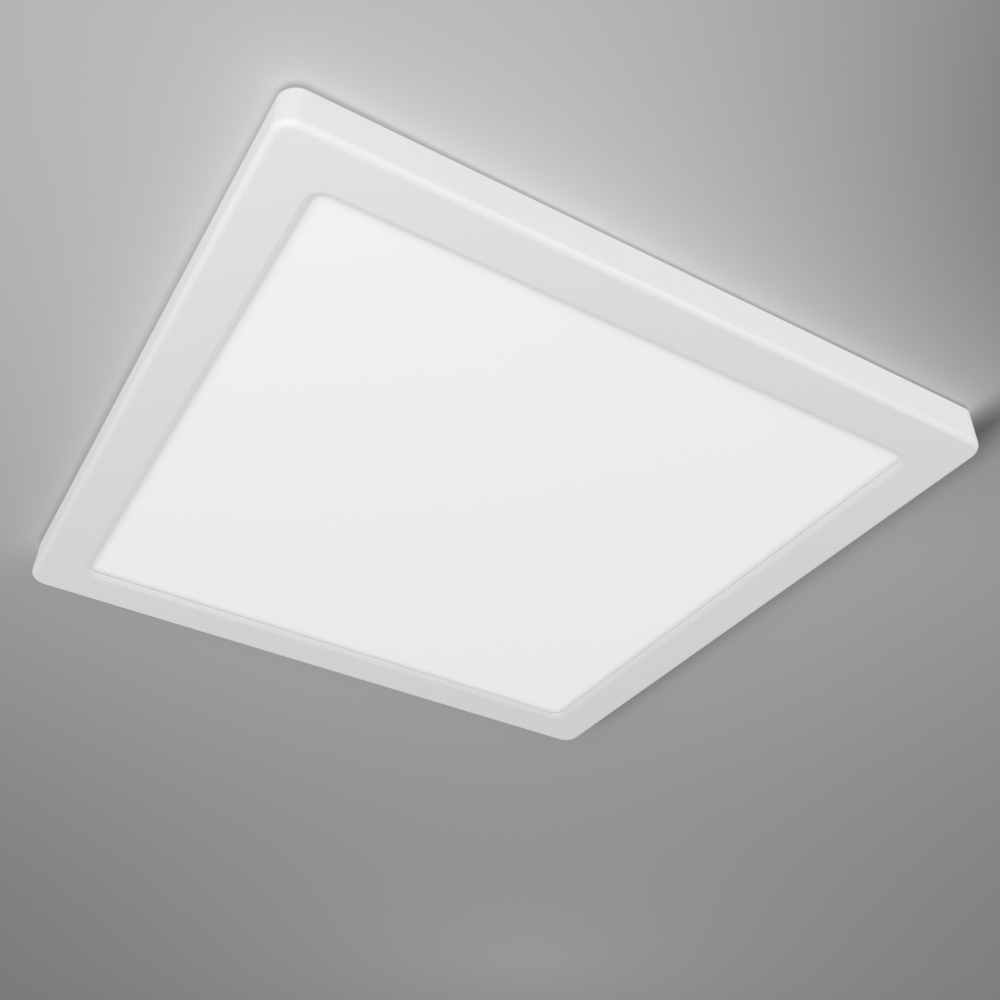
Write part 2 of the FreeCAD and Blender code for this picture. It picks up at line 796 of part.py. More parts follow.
def make_rear_tray():
    """Press the steel tray: floor, skirt that clamps the panel, ears, swages and holes."""
    body = new_body("rear_tray", "tray_z")
    outline = new_sketch(body, "outline")
    add_square(outline, "diffuser_half", "diffuser_corner")
    floor = pad(body, outline, "floor", "tray_wall")
    skirt_outline = new_sketch(body, "skirt_outline")
    add_square(skirt_outline, "diffuser_half", "diffuser_corner")
    add_square(skirt_outline, "skirt_half", "skirt_corner")
    skirt = pad(body, skirt_outline, "skirt", "skirt_depth", downward=True)
    chamfer(body, "bend", skirt, edges_at(skirt, number("tray_wall")), "tray_bend")

    ears = new_sketch(body, "ear_outline")
    for x in both_sides("tray_boss_place"):
        add_cut_rectangle(ears, "ear_width", "ear_depth", "ear_corner", x, "-ear_middle")
    ear_pads = pad(body, ears, "ears", "tray_wall")
    on_four_sides(body, "all_ears", [ear_pads])
    ear_holes = new_sketch(body, "ear_hole_outline", "tray_wall")
    for x in both_sides("tray_boss_place"):
        add_octagon(ear_holes, x, "-boss_line", "screw_hole")
    holes = pocket(body, ear_holes, "ear_holes", "tray_wall")
    on_four_sides(body, "all_ear_holes", [holes])

    crowns = new_sketch(body, "swage_crown_outline", "tray_wall")
    hollows = new_sketch(body, "swage_hollow_outline")
    narrow = "swage_width - 2 * tray_wall"
    short = "swage_length - 2 * tray_wall"
    for x in both_sides("swage_place_x"):
        add_cut_rectangle(crowns, "swage_width", "swage_length", "swage_end", x, "-swage_place_y")
        add_cut_rectangle(hollows, narrow, short, "swage_end - tray_wall / 2", x, "-swage_place_y")
    pad(body, crowns, "swage_crowns", "swage_height")
    pocket(body, hollows, "swage_hollows", "swage_height", upward=True)

    fixings = new_sketch(body, "fixing_outline", "tray_wall")
    for x, y in fixing_spots():
        add_octagon(fixings, x, y, "shank_radius + screw_play")
    pocket(body, fixings, "fixing_holes", "tray_wall")
    return body


def fixing_spots():
    """Where the small screws go through the tray floor."""
    driver = [
        (f"{sign}driver_ear_place", f"driver_place_y {side} ear_screw_y")
        for sign in ("-", "")
        for side in ("-", "+")
    ]
    terminal = [("-terminal_place_x", f"{sign}terminal_screw_y") for sign in ("-", "")]
    clamp = [("-clamp_place_x", f"{sign}clamp_screw_place") for sign in ("-", "")]
    return driver + terminal + clamp + [("-earth_place_x", "-earth_place_y")]


def make_screw(name, length):
    """Make one pan head screw, plainly eight-sided: its head stands on z = 0, its shank hangs."""
    body = new_body(name)
    head = new_sketch(body, "head_outline")
    add_octagon(head, "0", "0", "head_radius")
    pad(body, head, "head", "head_height")
    shank = new_sketch(body, "shank_outline")
    add_octagon(shank, "0", "0", "shank_radius")
    pad(body, shank, "shank", length, downward=True)
    return body


def make_tray_screws():
    """Fix the tray and the glow strips to the short bosses."""
    screw = make_screw("tray_screw", "pilot_depth - pilot_room + tray_wall + strip_wall")
    spots = []
    for along in both_sides("tray_boss_place"):
        spots += around_the_square(along, "boss_line")
    return group("tray_screws", screw, [(x, y, "tray_back_z + strip_wall") for x, y in spots])


# ---------------------------------------------------------------- glow behind the lamp


def make_backlight_ring():
    """Mould the milky ring: an upright wall on the tray and a flat top just below the rim."""
    body = new_body("backlight_ring", "tray_back_z")
    wall = new_sketch(body, "wall_outline")
    add_square(wall, "ring_web_half", "ring_web_corner")
    add_square(wall, "ring_inner_half", "ring_inner_corner")
    pad(body, wall, "wall", "ring_height")
    top = new_sketch(body, "top_outline", "ring_height")
    add_square(top, "ring_outer_half", "ring_outer_corner")
    add_square(top, "ring_inner_half", "ring_inner_corner")
    pad(body, top, "top", "ring_wall", downward=True)
    lip = new_sketch(body, "lip_outline", "ring_height")
    add_square(lip, "ring_outer_half", "ring_outer_corner")
    add_square(lip, "ring_outer_half - ring_wall / 2", "ring_outer_corner - ring_wall / 2")
    lipped = pad(body, lip, "outer_lip", "ring_wall + ring_lip", downward=True)
    outer_edges = edges_at(lipped, number("ring_height"), outside=number("ring_web_half"))
    chamfer(body, "outer_edge", lipped, outer_edges, "ring_edge")
    holes = new_sketch(body, "hole_outline", "ring_height")
    add_octagon(holes, "ring_boss_place", "-boss_line", "screw_hole")
    cut = pocket(body, holes, "screw_holes", "ring_wall")
    on_four_sides(body, "all_screw_holes", [cut])
    return body


def make_ring_screws():
    screw = make_screw("ring_screw", "pilot_depth - pilot_room + ring_wall")
    spots = around_the_square("ring_boss_place", "boss_line")
    return group("ring_screws", screw, [(x, y, "ring_back_z") for x, y in spots])


def make_glow_strips():
    """Lay one circuit strip along each side on the tray's ears, held by the tray screws."""
    strips = []
    for turn, side in enumerate(("front", "right", "rear", "left")):
        body = new_body("glow_strip_" + side, "tray_back_z", quarter_turns=turn)
        outline = new_sketch(body, "outline")
        add_rectangle(outline, "glow_strip_length", "glow_strip_width", "0", "-boss_line")
        for x in both_sides("tray_boss_place"):
            add_octagon(outline, x, "-boss_line", "screw_hole")
        pad(body, outline, "board", "strip_wall")
        strips.append(body)
    return strips


def make_glow_chips():
    body = new_body("glow_chips", "tray_back_z + strip_wall")
    outline = new_sketch(body, "outline")
    first_x = "-(glow_chips_in_row - 1) * glow_chip_pitch / 2"
    line = "-boss_line - glow_chip_offset"
    add_rectangle(outline, "glow_chip_width", "glow_chip_width", first_x, line)
    chip = pad(body, outline, "chip", "glow_chip_height")
    in_rows_on_four_sides(
        body, "rows", chip, outline, "glow_chips_in_row", "glow_chip_pitch"
    )
    return body


# ---------------------------------------------------------------- ceiling plate and spring fixing


def make_mounting_plate():
    """Press the ceiling plate: flat top, turned-down rim, dished cable hole and slots."""
    body = new_body("mounting_plate")
    outline = new_sketch(body, "outline")
    add_square(outline, "plate_half", "plate_corner")
    pad(body, outline, "sheet", "plate_wall", downward=True)
    rim_outline = new_sketch(body, "rim_outline")
    add_square(rim_outline, "plate_half", "plate_corner")
    add_square(rim_outline, "rim_half", "rim_corner")
    rim = pad(body, rim_outline, "rim", "rim_depth", downward=True)
    chamfer(body, "bend", rim, edges_at(rim, 0), "plate_bend")

    crown = new_sketch(body, "dish_crown_outline", "plate_z")
    add_circle(crown, "0", "0", "dish_radius + plate_wall")
    pad(body, crown, "dish_crown", "dish_depth", downward=True)
    hollow = new_sketch(body, "dish_hollow_outline")
    add_circle(hollow, "0", "0", "dish_radius")
    pocket(body, hollow, "dish_hollow", "dish_depth")
    hole = new_sketch(body, "cable_hole_outline")
    add_circle(hole, "0", "0", "cable_hole")
    pocket(body, hole, "cable_opening", "dish_depth + plate_wall")

    slots = new_sketch(body, "slot_outline")
    for x in both_sides("slot_place_x"):
        for y in both_sides("slot_place_y"):
            ends = "slot_radius - slot_seam"
            add_rounded_rectangle(slots, "slot_length", "2 * slot_radius", ends, x, y)
    pocket(body, slots, "slots", "plate_wall")

    rivets = new_sketch(body, "rivet_outline")
    for place in rivet_places():
        add_octagon(rivets, "0", f"-({place})", "rivet_radius")
    rivet_holes = pocket(body, rivets, "rivet_holes", "plate_wall")
    notch = new_sketch(body, "notch_outline", "plate_z")
    add_rectangle(notch, "notch_width", "(4 * plate_wall)", "0", "-plate_half")
    notch_cut = pocket(body, notch, "notch", "rim_depth")
    on_four_sides(body, "all_sides", [rivet_holes, notch_cut])

    crowns = new_sketch(body, "bead_crown_outline", "plate_z")
    hollows = new_sketch(body, "bead_hollow_outline")
    narrow = "bead_width - 2 * plate_wall"
    short = "bead_length - 2 * plate_wall"
    for x in both_sides("bead_middle"):
        add_cut_rectangle(crowns, "bead_length", "bead_width", "bead_end", x, "-bead_line")
        add_cut_rectangle(hollows, short, narrow, "bead_end - plate_wall / 2", x, "-bead_line")
    bead_crowns = pad(body, crowns, "bead_crowns", "bead_depth", downward=True)
    bead_hollows = pocket(body, hollows, "bead_hollows", "bead_depth")
    on_four_sides(body, "all_beads", [bead_crowns, bead_hollows])
    return body


def rivet_places():
    """How far from the centre the two rivets of a leaf spring lie."""
    return ("leaf_start + rivet_place", "leaf_start + rivet_place + rivet_pitch")


def make_cable_grommet():
    """Mould the rubber grommet, grooved over the edge of the dished hole."""
    body = new_body("cable_grommet", "dish_z")
    add_prism(body, "lower_flange", "grommet_flange", "grommet_lip", "-grommet_lip")
    add_prism(body, "neck", "cable_hole", "plate_wall", "0")
    add_prism(body, "upper_flange", "grommet_flange", "grommet_lip", "plate_wall")
    add_prism(body, "bore", "grommet_bore", "plate_wall + 2 * grommet_lip", "-grommet_lip", cut=True)
    return body


def add_prism(body, name, radius, height, level, cut=False):
    """Add or cut a many-sided round, plain enough for a small piece."""
    kind = "PartDesign::SubtractivePrism" if cut else "PartDesign::AdditivePrism"
    feature = body.newObject(kind, name)
    feature.Polygon = GROMMET_SIDES
    feature.setExpression("Circumradius", tied(radius))
    feature.setExpression("Height", tied(height))
    feature.AttachmentSupport = [(origin_feature(body, "XY_Plane"), "")]
    feature.MapMode = "FlatFace"
    feature.setExpression("AttachmentOffset.Base.z", tied(level))
    doc.recompute()
    return feature


def make_spring_clips():
    """Bend four leaf springs, flat under the plate and with a nose that springs outwards."""
    half_wall = number("leaf_wall") / 2
    bend = Vector(number("leaf_line"), 0, number("leaf_z"))
    nose = Vector(number("nose_line"), 0, number("nose_z"))
    line = Part.makePolygon([
        Vector(number("leaf_start"), 0, number("leaf_z")),
        bend,
        Vector(bend.x, 0, nose.z + number("nose_rise")),
        nose,
        Vector(bend.x + number("leaf_wall"), 0, nose.z - number("nose_rise")),
    ])
    strip = Part.Face(line.makeOffset2D(half_wall, 2, False, False, False))
    strip.translate(Vector(0, -number("leaf_width") / 2, 0))
    leaf = strip.extrude(Vector(0, number("leaf_width"), 0))
    for place in rivet_places():
        foot = Vector(number(place), 0, number("plate_z - 2 * leaf_wall"))
        hole = eight_sided(foot, Vector(1, 0, 0), Vector(0, 1, 0), number("rivet_radius"))
        leaf = leaf.cut(Part.Face(hole).extrude(Vector(0, 0, number("3 * leaf_wall"))))
    leaves = []
    for turn in range(4):
        copy = leaf.copy()
        copy.rotate(Vector(0, 0, 0), Vector(0, 0, 1), 90 * turn)
        leaves.append(copy)
    clips = doc.addObject("Part::Feature", "spring_clips")
    clips.Label = "spring_clips"
    clips.Shape = Part.makeCompound(leaves)
    clips.Placement = FreeCAD.Placement()
    return clips


def make_clip_rivets():
    """Set two flat head rivets through the plate and each leaf."""
    body = new_body("clip_rivet", "plate_z - leaf_wall")
    head = new_sketch(body, "head_outline")
    add_octagon(head, "0", "0", "rivet_head")
    pad(body, head, "head", "rivet_head_height", downward=True)
    shank = new_sketch(body, "shank_outline")
    add_octagon(shank, "0", "0", "rivet_radius")
    pad(body, shank, "shank", "leaf_wall + plate_wall")
    spots = []
    for place in rivet_places():
        spots += around_the_square("0", place)
    return group("clip_rivets", body, [(x, y, "plate_z - leaf_wall") for x, y in spots])


def make_catch_brackets():
    """Bend the four steel brackets whose windows catch the noses of the springs."""
    body = new_body("catch_brackets", "tray_back_z")
    profile = new_sketch(body, "profile", plane="XZ_Plane")
    add_outline(profile, [
        ("bracket_toe", "0"),
        ("bracket_outer", "0"),
        ("bracket_outer", "bracket_height"),
        ("bracket_inner", "bracket_height"),
        ("bracket_inner", "bracket_wall"),
        ("bracket_toe", "bracket_wall"),
    ])
    angle = pad(body, profile, "angle", "bracket_width", both_ways=True)
    window = new_sketch(body, "window_outline", plane="YZ_Plane")
    window.setExpression("AttachmentOffset.Base.z", tied("bracket_inner - cut_over"))
    middle = "(window_top + window_bottom) / 2"
    add_rectangle(window, "window_width", "(window_top - window_bottom)", "0", middle)
    opening = pocket(body, window, "window", "bracket_wall + 2 * cut_over", upward=True)
    on_four_sides(body, "all_sides", [angle, opening])
    return body


# ---------------------------------------------------------------- driver


def make_driver_base():
    """Mould the driver's floor: ears, four posts for the board and a lip inside the cover."""
    body = new_body("driver_base", "tray_back_z", at_y="driver_place_y")
    outline = new_sketch(body, "outline")
    add_cut_rectangle(outline, "driver_length", "driver_width", "driver_corner")
    pad(body, outline, "floor", "driver_wall")
    ears = new_sketch(body, "ear_outline")
    for x in both_sides("driver_ear_place"):
        depth = "driver_width + 2 * driver_ear_reach"
        add_cut_rectangle(ears, "driver_ear_width", depth, "driver_corner", x)
    pad(body, ears, "ears", "driver_wall")
    lip = new_sketch(body, "lip_outline", "driver_wall")
    add_cut_rectangle(lip, "base_lip_length", "base_lip_width", "driver_corner - sheet_play")
    inner = "2 * driver_wall"
    inner_size = (f"base_lip_length - {inner}", f"base_lip_width - {inner}")
    add_cut_rectangle(lip, *inner_size, "driver_corner - driver_wall")
    pad(body, lip, "locating_lip", "driver_lip - sheet_play")
    posts = new_sketch(body, "post_outline", "driver_wall")
    for x, y in board_post_spots():
        add_octagon(posts, x, y, "post_radius")
    pad(body, posts, "posts", "post_height")
    gaps = new_sketch(body, "lead_gap_outline", "driver_wall")
    for sign in ("-", ""):
        x = f"{sign}(driver_half - 2 * driver_wall)"
        add_rectangle(gaps, "(4 * driver_wall)", "(4 * supply_entry)", x, "0")
    pocket(body, gaps, "lead_gaps", "driver_lip", upward=True)
    holes = new_sketch(body, "screw_outline", "driver_wall")
    for x in ("-driver_ear_place", "driver_ear_place"):
        for sign in ("-", ""):
            add_octagon(holes, x, f"{sign}ear_screw_y", "shank_radius + screw_play")
    pocket(body, holes, "screw_holes", "driver_wall")
    return body


def board_post_spots():
    return [(f"{sign_x}post_x", f"{sign_y}post_y") for sign_x in ("-", "") for sign_y in ("-", "")]


def make_driver_cover():
    """Mould the lid of the driver: hollow shell, vents and the holes for the leads."""
    body = new_body("driver_cover", "base_top_z", at_y="driver_place_y")
    outline = new_sketch(body, "outline")
    add_cut_rectangle(outline, "driver_length", "driver_width", "driver_corner")
    block = pad(body, outline, "block", "cover_height")
    chamfer(body, "top_edge", block, edges_at(block, number("cover_height")), "driver_edge")
    hollow = new_sketch(body, "hollow_outline")
    length = "driver_length - 2 * driver_wall"
    width = "driver_width - 2 * driver_wall"
    add_cut_rectangle(hollow, length, width, "driver_corner - sheet_play")
    pocket(body, hollow, "hollow", "cover_height - driver_wall", upward=True)
    vent = new_sketch(body, "vent_outline", "cover_height")
    first_x = "-(vents - 1) * vent_pitch / 2"
    add_rectangle(vent, "vent_width", "vent_length", first_x, "0")
    slot = pocket(body, vent, "vent", "driver_wall")
    in_rows_on_four_sides(body, "vent_row", slot, vent, "vents", "vent_pitch", turned=False)
    supply = new_sketch(body, "lead_hole_outline", plane="YZ_Plane")
    supply.setExpression("AttachmentOffset.Base.z", tied("-driver_half - cut_over"))
    for y in ("-supply_entry", "supply_entry"):
        add_octagon(supply, y, "lead_z - base_top_z", "mains_lead_radius + screw_play")
    pocket(body, supply, "supply_holes", "driver_wall + 2 * cut_over", upward=True)
    output = new_sketch(body, "output_hole_outline", plane="YZ_Plane")
    output.setExpression("AttachmentOffset.Base.z", tied("driver_half - driver_wall - cut_over"))
    for place in output_places():
        add_octagon(output, place, "lead_z - base_top_z", "glow_lead_radius + screw_play")
    pocket(body, output, "output_holes", "driver_wall + 2 * cut_over", upward=True)
    return body


def output_places():
    """Where the four output leads leave the driver, measured from its middle."""
    return [
        f"{sign}output_spread {half} plug_pitch / 2" for sign in ("-", "") for half in ("-", "+")
    ]


def make_driver_board():
    """Cut the circuit board that stands on the posts."""
    body = new_body("driver_board", "board_z", at_y="driver_place_y")
    outline = new_sketch(body, "outline")
    margin = "2 * (driver_wall + board_margin)"
    length, width = f"driver_length - {margin}", f"driver_width - {margin}"
    add_cut_rectangle(outline, length, width, "driver_wall")
    pad(body, outline, "board", "board_wall")
    return body


def make_driver_transformer():
    """Wind the transformer: ferrite yoke round a bobbin."""
    body = new_body("driver_transformer", "board_top_z", at_y="driver_place_y")
    core = new_sketch(body, "core_outline")
    add_rectangle(core, "transformer_length", "transformer_width")
    pad(body, core, "core", "transformer_height")
    window = new_sketch(body, "window_outline", "transformer_height")
    for sign in ("-", ""):
        y = f"{sign}transformer_width / 2"
        add_rectangle(window, "winding_length", "2 * winding_inset", "0", y)
    pocket(body, window, "windows", "winding_depth")
    return body


def make_driver_capacitors():
    """Lay three round capacitors on the board."""
    body = new_body("driver_capacitors", "board_top_z + capacitor_radius", at_y="driver_place_y")
    ends = new_sketch(body, "ends", plane="YZ_Plane")
    ends.setExpression("AttachmentOffset.Base.z", tied("capacitor_x"))
    for step in ("-1", "0", "1"):
        y = f"{step} * (2 * capacitor_radius + capacitor_gap)"
        add_octagon(ends, y, "0", "capacitor_radius")
    pad(body, ends, "cans", "capacitor_length")
    return body


def make_driver_choke():
    """Wind the ring choke that lies flat near the supply end."""
    body = new_body("driver_choke", "board_top_z", "-driver_half / 2", "driver_place_y")
    outline = new_sketch(body, "outline")
    add_octagon(outline, "0", "0", "choke_radius + choke_wire")
    add_octagon(outline, "0", "0", "choke_radius - choke_wire")
    pad(body, outline, "ring", "2 * choke_wire")
    return body


def make_driver_screws():
    screw = make_screw("driver_screw", "driver_wall + tray_wall")
    spots = fixing_spots()[:4]
    return group("driver_screws", screw, [(x, y, "base_top_z") for x, y in spots])


# ---------------------------------------------------------------- terminals and leads


def make_terminal_block():
    """Mould the three-pole block: wire entries both sides, button wells and two ears."""
    body = new_body("terminal_block", "tray_back_z", at_x="-terminal_place_x")
    outline = new_sketch(body, "outline")
    add_rectangle(outline, "terminal_length", "terminal_width")
    block = pad(body, outline, "block", "terminal_height")
    chamfer(body, "edges", block, edges_at(block, number("terminal_height")), "terminal_edge")
    ears = new_sketch(body, "ear_outline")
    ear_span = "terminal_width + 2 * terminal_ear"
    add_cut_rectangle(ears, "terminal_length / 2", ear_span, "terminal_ear_corner")
    pad(body, ears, "ears", "terminal_ear_height")
    ear_holes = new_sketch(body, "ear_hole_outline", "terminal_ear_height")
    for sign in ("-", ""):
        add_octagon(ear_holes, "0", f"{sign}terminal_screw_y", "shank_radius + screw_play")
    pocket(body, ear_holes, "ear_holes", "terminal_ear_height")
    wells = new_sketch(body, "well_outline", "terminal_height")
    for pole in ("-pole_pitch", "0", "pole_pitch"):
        add_rectangle(wells, "well_length", "well_width", "well_place", pole)
    pocket(body, wells, "wells", "well_depth")
    supply = new_sketch(body, "entry_outline", plane="YZ_Plane")
    supply.setExpression("AttachmentOffset.Base.z", tied("terminal_half"))
    for pole in ("-pole_pitch", "0", "pole_pitch"):
        add_octagon(supply, pole, "entry_height", "entry_radius")
    pocket(body, supply, "entries", "entry_depth")
    outlets = new_sketch(body, "outlet_outline", plane="YZ_Plane")
    outlets.setExpression("AttachmentOffset.Base.z", tied("-terminal_half"))
    for pole in ("-pole_pitch", "0", "pole_pitch"):
        add_octagon(outlets, pole, "lead_height", "mains_lead_radius + screw_play")
    pocket(body, outlets, "outlets", "2 * mains_lead_radius", upward=True)
    return body


def make_release_buttons():
    """Mould the sprung buttons that free the wires, each with a slot for a blade."""
    buttons = []
    for name, pole in (("earth", "-pole_pitch"), ("neutral", "0"), ("live", "pole_pitch")):
        x = "well_place - terminal_place_x"
        body = new_body("release_button_" + name, "button_foot_z", x, pole)
        outline = new_sketch(body, "outline")
        add_rectangle(outline, "button_length", "button_width")
        stem = pad(body, outline, "stem", "button_height")
        crown = edges_at(stem, number("button_height"))
        chamfer(body, "crown", stem, crown, "button_play")
        slot = new_sketch(body, "slot_outline", "button_height")
        add_rectangle(slot, "(button_length - 2 * button_slot)", "button_slot")
        pocket(body, slot, "slot", "button_slot")
        buttons.append(body)
    return buttons


def make_terminal_screws():
    screw = make_screw("terminal_screw", "terminal_ear_height + tray_wall")
    spots = fixing_spots()[4:6]
    level = "tray_back_z + terminal_ear_height"
    return group("terminal_screws", screw, [(x, y, level) for x, y in spots])


def make_cord_clamp():
    """Mould the bar that grips the supply cable against the tray."""
    body = new_body("cord_clamp", "tray_back_z", at_x="-clamp_place_x")
    outline = new_sketch(body, "outline")
    add_cut_rectangle(outline, "clamp_length", "clamp_width", "clamp_corner")
    block = pad(body, outline, "bar", "clamp_height")
    chamfer(body, "top_edge", block, edges_at(block, number("clamp_height")), "clamp_edge")
    arch = new_sketch(body, "arch_outline", plane="YZ_Plane")
    add_octagon(arch, "0", "0", "clamp_arch")
    pocket(body, arch, "arch", "2 * clamp_length", both_ways=True)
    seats = new_sketch(body, "seat_outline", "clamp_height")
    for sign in ("-", ""):
        add_octagon(seats, "0", f"{sign}clamp_screw_place", "head_radius + clamp_seat_play")
    pocket(body, seats, "head_seats", "head_height")
    holes = new_sketch(body, "screw_outline", "clamp_height")
    for sign in ("-", ""):
        add_octagon(holes, "0", f"{sign}clamp_screw_place", "shank_radius + screw_play")
    pocket(body, holes, "screw_holes", "clamp_height")
    return body


def make_clamp_screws():
    screw = make_screw("clamp_screw", "clamp_height - head_height + tray_wall")
    level = "tray_back_z + clamp_height - head_height"
    spots = fixing_spots()[6:8]
    return group("clamp_screws", screw, [(x, y, level) for x, y in spots])


def make_earth_tag():
    """Stamp the ring tag of the earth lead, with a rolled barrel for the wire."""
    body = new_body("earth_tag", "tray_back_z", "-earth_place_x", "-earth_place_y")
    eye = new_sketch(body, "eye_outline")
    add_octagon(eye, "0", "0", "tag_eye")
    pad(body, eye, "eye", "tag_wall")
    tongue = new_sketch(body, "tongue_outline")
    reach = "(tag_length + tag_eye)"
    add_rectangle(tongue, "2 * mains_lead_radius", reach, "0", reach + " / 2")
    pad(body, tongue, "tongue", "tag_wall")
    hole = new_sketch(body, "hole_outline", "tag_wall")
    add_octagon(hole, "0", "0", "shank_radius + screw_play")
    pocket(body, hole, "hole", "tag_wall")
    barrel = new_sketch(body, "barrel_outline", plane="XZ_Plane")
    barrel.setExpression("AttachmentOffset.Base.z", tied("-tag_length - tag_eye"))
    add_octagon(barrel, "0", "lead_height", "mains_lead_radius + barrel_wall")
    pad(body, barrel, "barrel", "tag_length / 2")
    return body


def make_earth_screw():
    screw = make_screw("earth_screw_blank", "tag_wall + tray_wall")
    spot = ("-earth_place_x", "-earth_place_y", "tray_back_z + tag_wall")
    return group("earth_screw", screw, [spot])


def make_lead(points, radius):
    """Run one round lead through its points, with a tangent arc at each turn."""
    corners = [Vector(number(x), number(y), number(z)) for x, y, z in points]
    bend = number("lead_bend")
    edges = []
    here = corners[0]
    for before, turn, after in zip(corners, corners[1:], corners[2:]):
        coming = (turn - before).normalize()
        going = (after - turn).normalize()
        half_turn = coming.getAngle(going) / 2
        reach = bend * math.tan(half_turn)
        start, end = turn - coming * reach, turn + going * reach
        inward = (going - coming).normalize()
        centre = turn + inward * (bend / math.cos(half_turn))
        edges.append(Part.LineSegment(here, start).toShape())
        edges.append(Part.Arc(start, centre - inward * bend, end).toShape())
        here = end
    edges.append(Part.LineSegment(here, corners[-1]).toShape())
    path = Part.Wire(edges)
    upward = Vector(0, 0, 1)
    sideways = upward.cross(corners[1] - corners[0]).normalize()
    section = eight_sided(corners[0], sideways, upward, radius)
    lead = path.makePipeShell([section], True, True)
    expected = Part.Face(section).Area * path.Length
    if abs(lead.Volume - expected) > LEAD_TOLERANCE * expected:
        raise RuntimeError("a lead doesn't fill its route")
    return lead


def add_leads(label, routes, radius):
    """Keep the leads of one circuit as one sub-part."""
    leads = doc.addObject("Part::Feature", label)
    leads.Label = label
    shapes = [make_lead(route, number(radius)) for route in routes]
    leads.Shape = Part.makeCompound(shapes) if len(shapes) > 1 else shapes[0]
    leads.Placement = FreeCAD.Placement()
    return leads


def make_supply_leads():
    """Run live, neutral and earth from the terminal block."""
    level = "lead_z"
    start = "-lead_start_x"
    driver_end = "-driver_half"
    live_x = "-driver_half - live_turn"
    neutral_x = "-driver_half - neutral_turn"
    live_y = "driver_place_y - supply_entry"
    neutral_y = "driver_place_y + supply_entry"
    tag_end = "-earth_place_y + tag_eye + tag_length"
    return [
        add_leads("live_lead", [[
            (start, "pole_pitch", level),
            (live_x, "pole_pitch", level),
            (live_x, live_y, level),
            (driver_end, live_y, level),
        ]], "mains_lead_radius"),
        add_leads("neutral_lead", [[
            (start, "0", level),
            (neutral_x, "0", level),
            (neutral_x, neutral_y, level),
            (driver_end, neutral_y, level),
        ]], "mains_lead_radius"),
        add_leads("earth_lead", [[
            (start, "-pole_pitch", level),
            ("-earth_place_x", "-pole_pitch", level),
            ("-earth_place_x", tag_end, level),
        ]], "mains_lead_radius"),
    ]


def make_output_leads():
    """Run the two pairs straight from the driver to their plugs near the tray's edge."""
    pieces = []
    for label, sign in (("panel_leads", "-"), ("glow_leads", "+")):
        routes = []
        for half in ("-", "+"):
            y = f"driver_place_y {sign} output_spread {half} plug_pitch / 2"
            routes.append([("driver_half", y, "lead_z"), ("plug_place_x", y, "lead_z")])
        pieces.append(add_leads(label, routes, "glow_lead_radius"))
    return pieces


def make_lead_plugs():
    """Mould the two plugs that take the driver's output to the strips."""
    plugs = []
    for label, sign in (("panel_plug", "-"), ("glow_plug", "+")):
        spot_x = "plug_place_x + plug_length / 2"
        body = new_body(label, "tray_back_z", spot_x, f"driver_place_y {sign} output_spread")
        outline = new_sketch(body, "outline")
        add_rectangle(outline, "plug_length", "plug_width")
        pad(body, outline, "block", "plug_height")
        latch = new_sketch(body, "latch_outline", "plug_height")
        add_rectangle(latch, "latch_length", "latch_width")
        pad(body, latch, "latch", "latch_height")
        plugs.append(body)
    return plugs


# ---------------------------------------------------------------- build and write


def make_all():
    pieces = [
        make_front_frame(),
        make_diffuser(),
        make_sheet_layer("light_guide", "diffuser_back_z", "guide_wall"),
        make_sheet_layer("reflector_film", "guide_back_z", "film_wall"),
        make_sheet_layer("backing_foam", "film_back_z", "foam_wall"),
        make_led_chips(),
        make_rear_tray(),
        make_tray_screws(),
        make_backlight_ring(),
        make_ring_screws(),
        make_glow_chips(),
        make_mounting_plate(),
        make_cable_grommet(),
        make_spring_clips(),
        make_clip_rivets(),
        make_catch_brackets(),
        make_driver_base(),
        make_driver_cover(),
        make_driver_board(),
        make_driver_transformer(),
        make_driver_capacitors(),
        make_driver_choke(),
        make_driver_screws(),
        make_terminal_block(),
        make_terminal_screws(),
        make_cord_clamp(),
        make_clamp_screws(),
        make_earth_tag(),
        make_earth_screw(),
    ]
    pieces += make_led_strips()
    pieces += make_glow_strips()
    pieces += make_release_buttons()
    pieces += make_supply_leads()
    pieces += make_output_leads()
    pieces += make_lead_plugs()
    return pieces


def check_all(pieces):
    """Stop if anything failed to build."""
    for item in doc.Objects:
        if any(word in item.State for word in ("Invalid", "Error")):
            raise RuntimeError(f"{item.Label} is {item.State}")
    for piece in pieces:
        if piece.Shape.isNull() or not piece.Shape.isValid() or not piece.Shape.Solids:
            raise RuntimeError(f"{piece.Label} has no sound shape")


def write_all(pieces):
    os.makedirs("parts", exist_ok=True)
    for piece in pieces:
        piece.Shape.exportStep(os.path.join("parts", piece.Label + ".step"))


doc = FreeCAD.newDocument("ceiling_light")
sizes = make_sheet()
places = make_places()
doc.recompute()
all_pieces = make_all()
doc.recompute()
check_all(all_pieces)
write_all(all_pieces)
print(f"{len(all_pieces)} sub-parts written")
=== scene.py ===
"""Finishes, small fasteners and studio for a slim square flush mount ceiling light.

Every length is in metres, in the lamp's own frame: +Z up to the ceiling, which is at z = 0.
"""

import json
import math

import bmesh
import bpy
from bpy.props import FloatProperty, FloatVectorProperty, IntProperty
from mathutils import Matrix, Vector


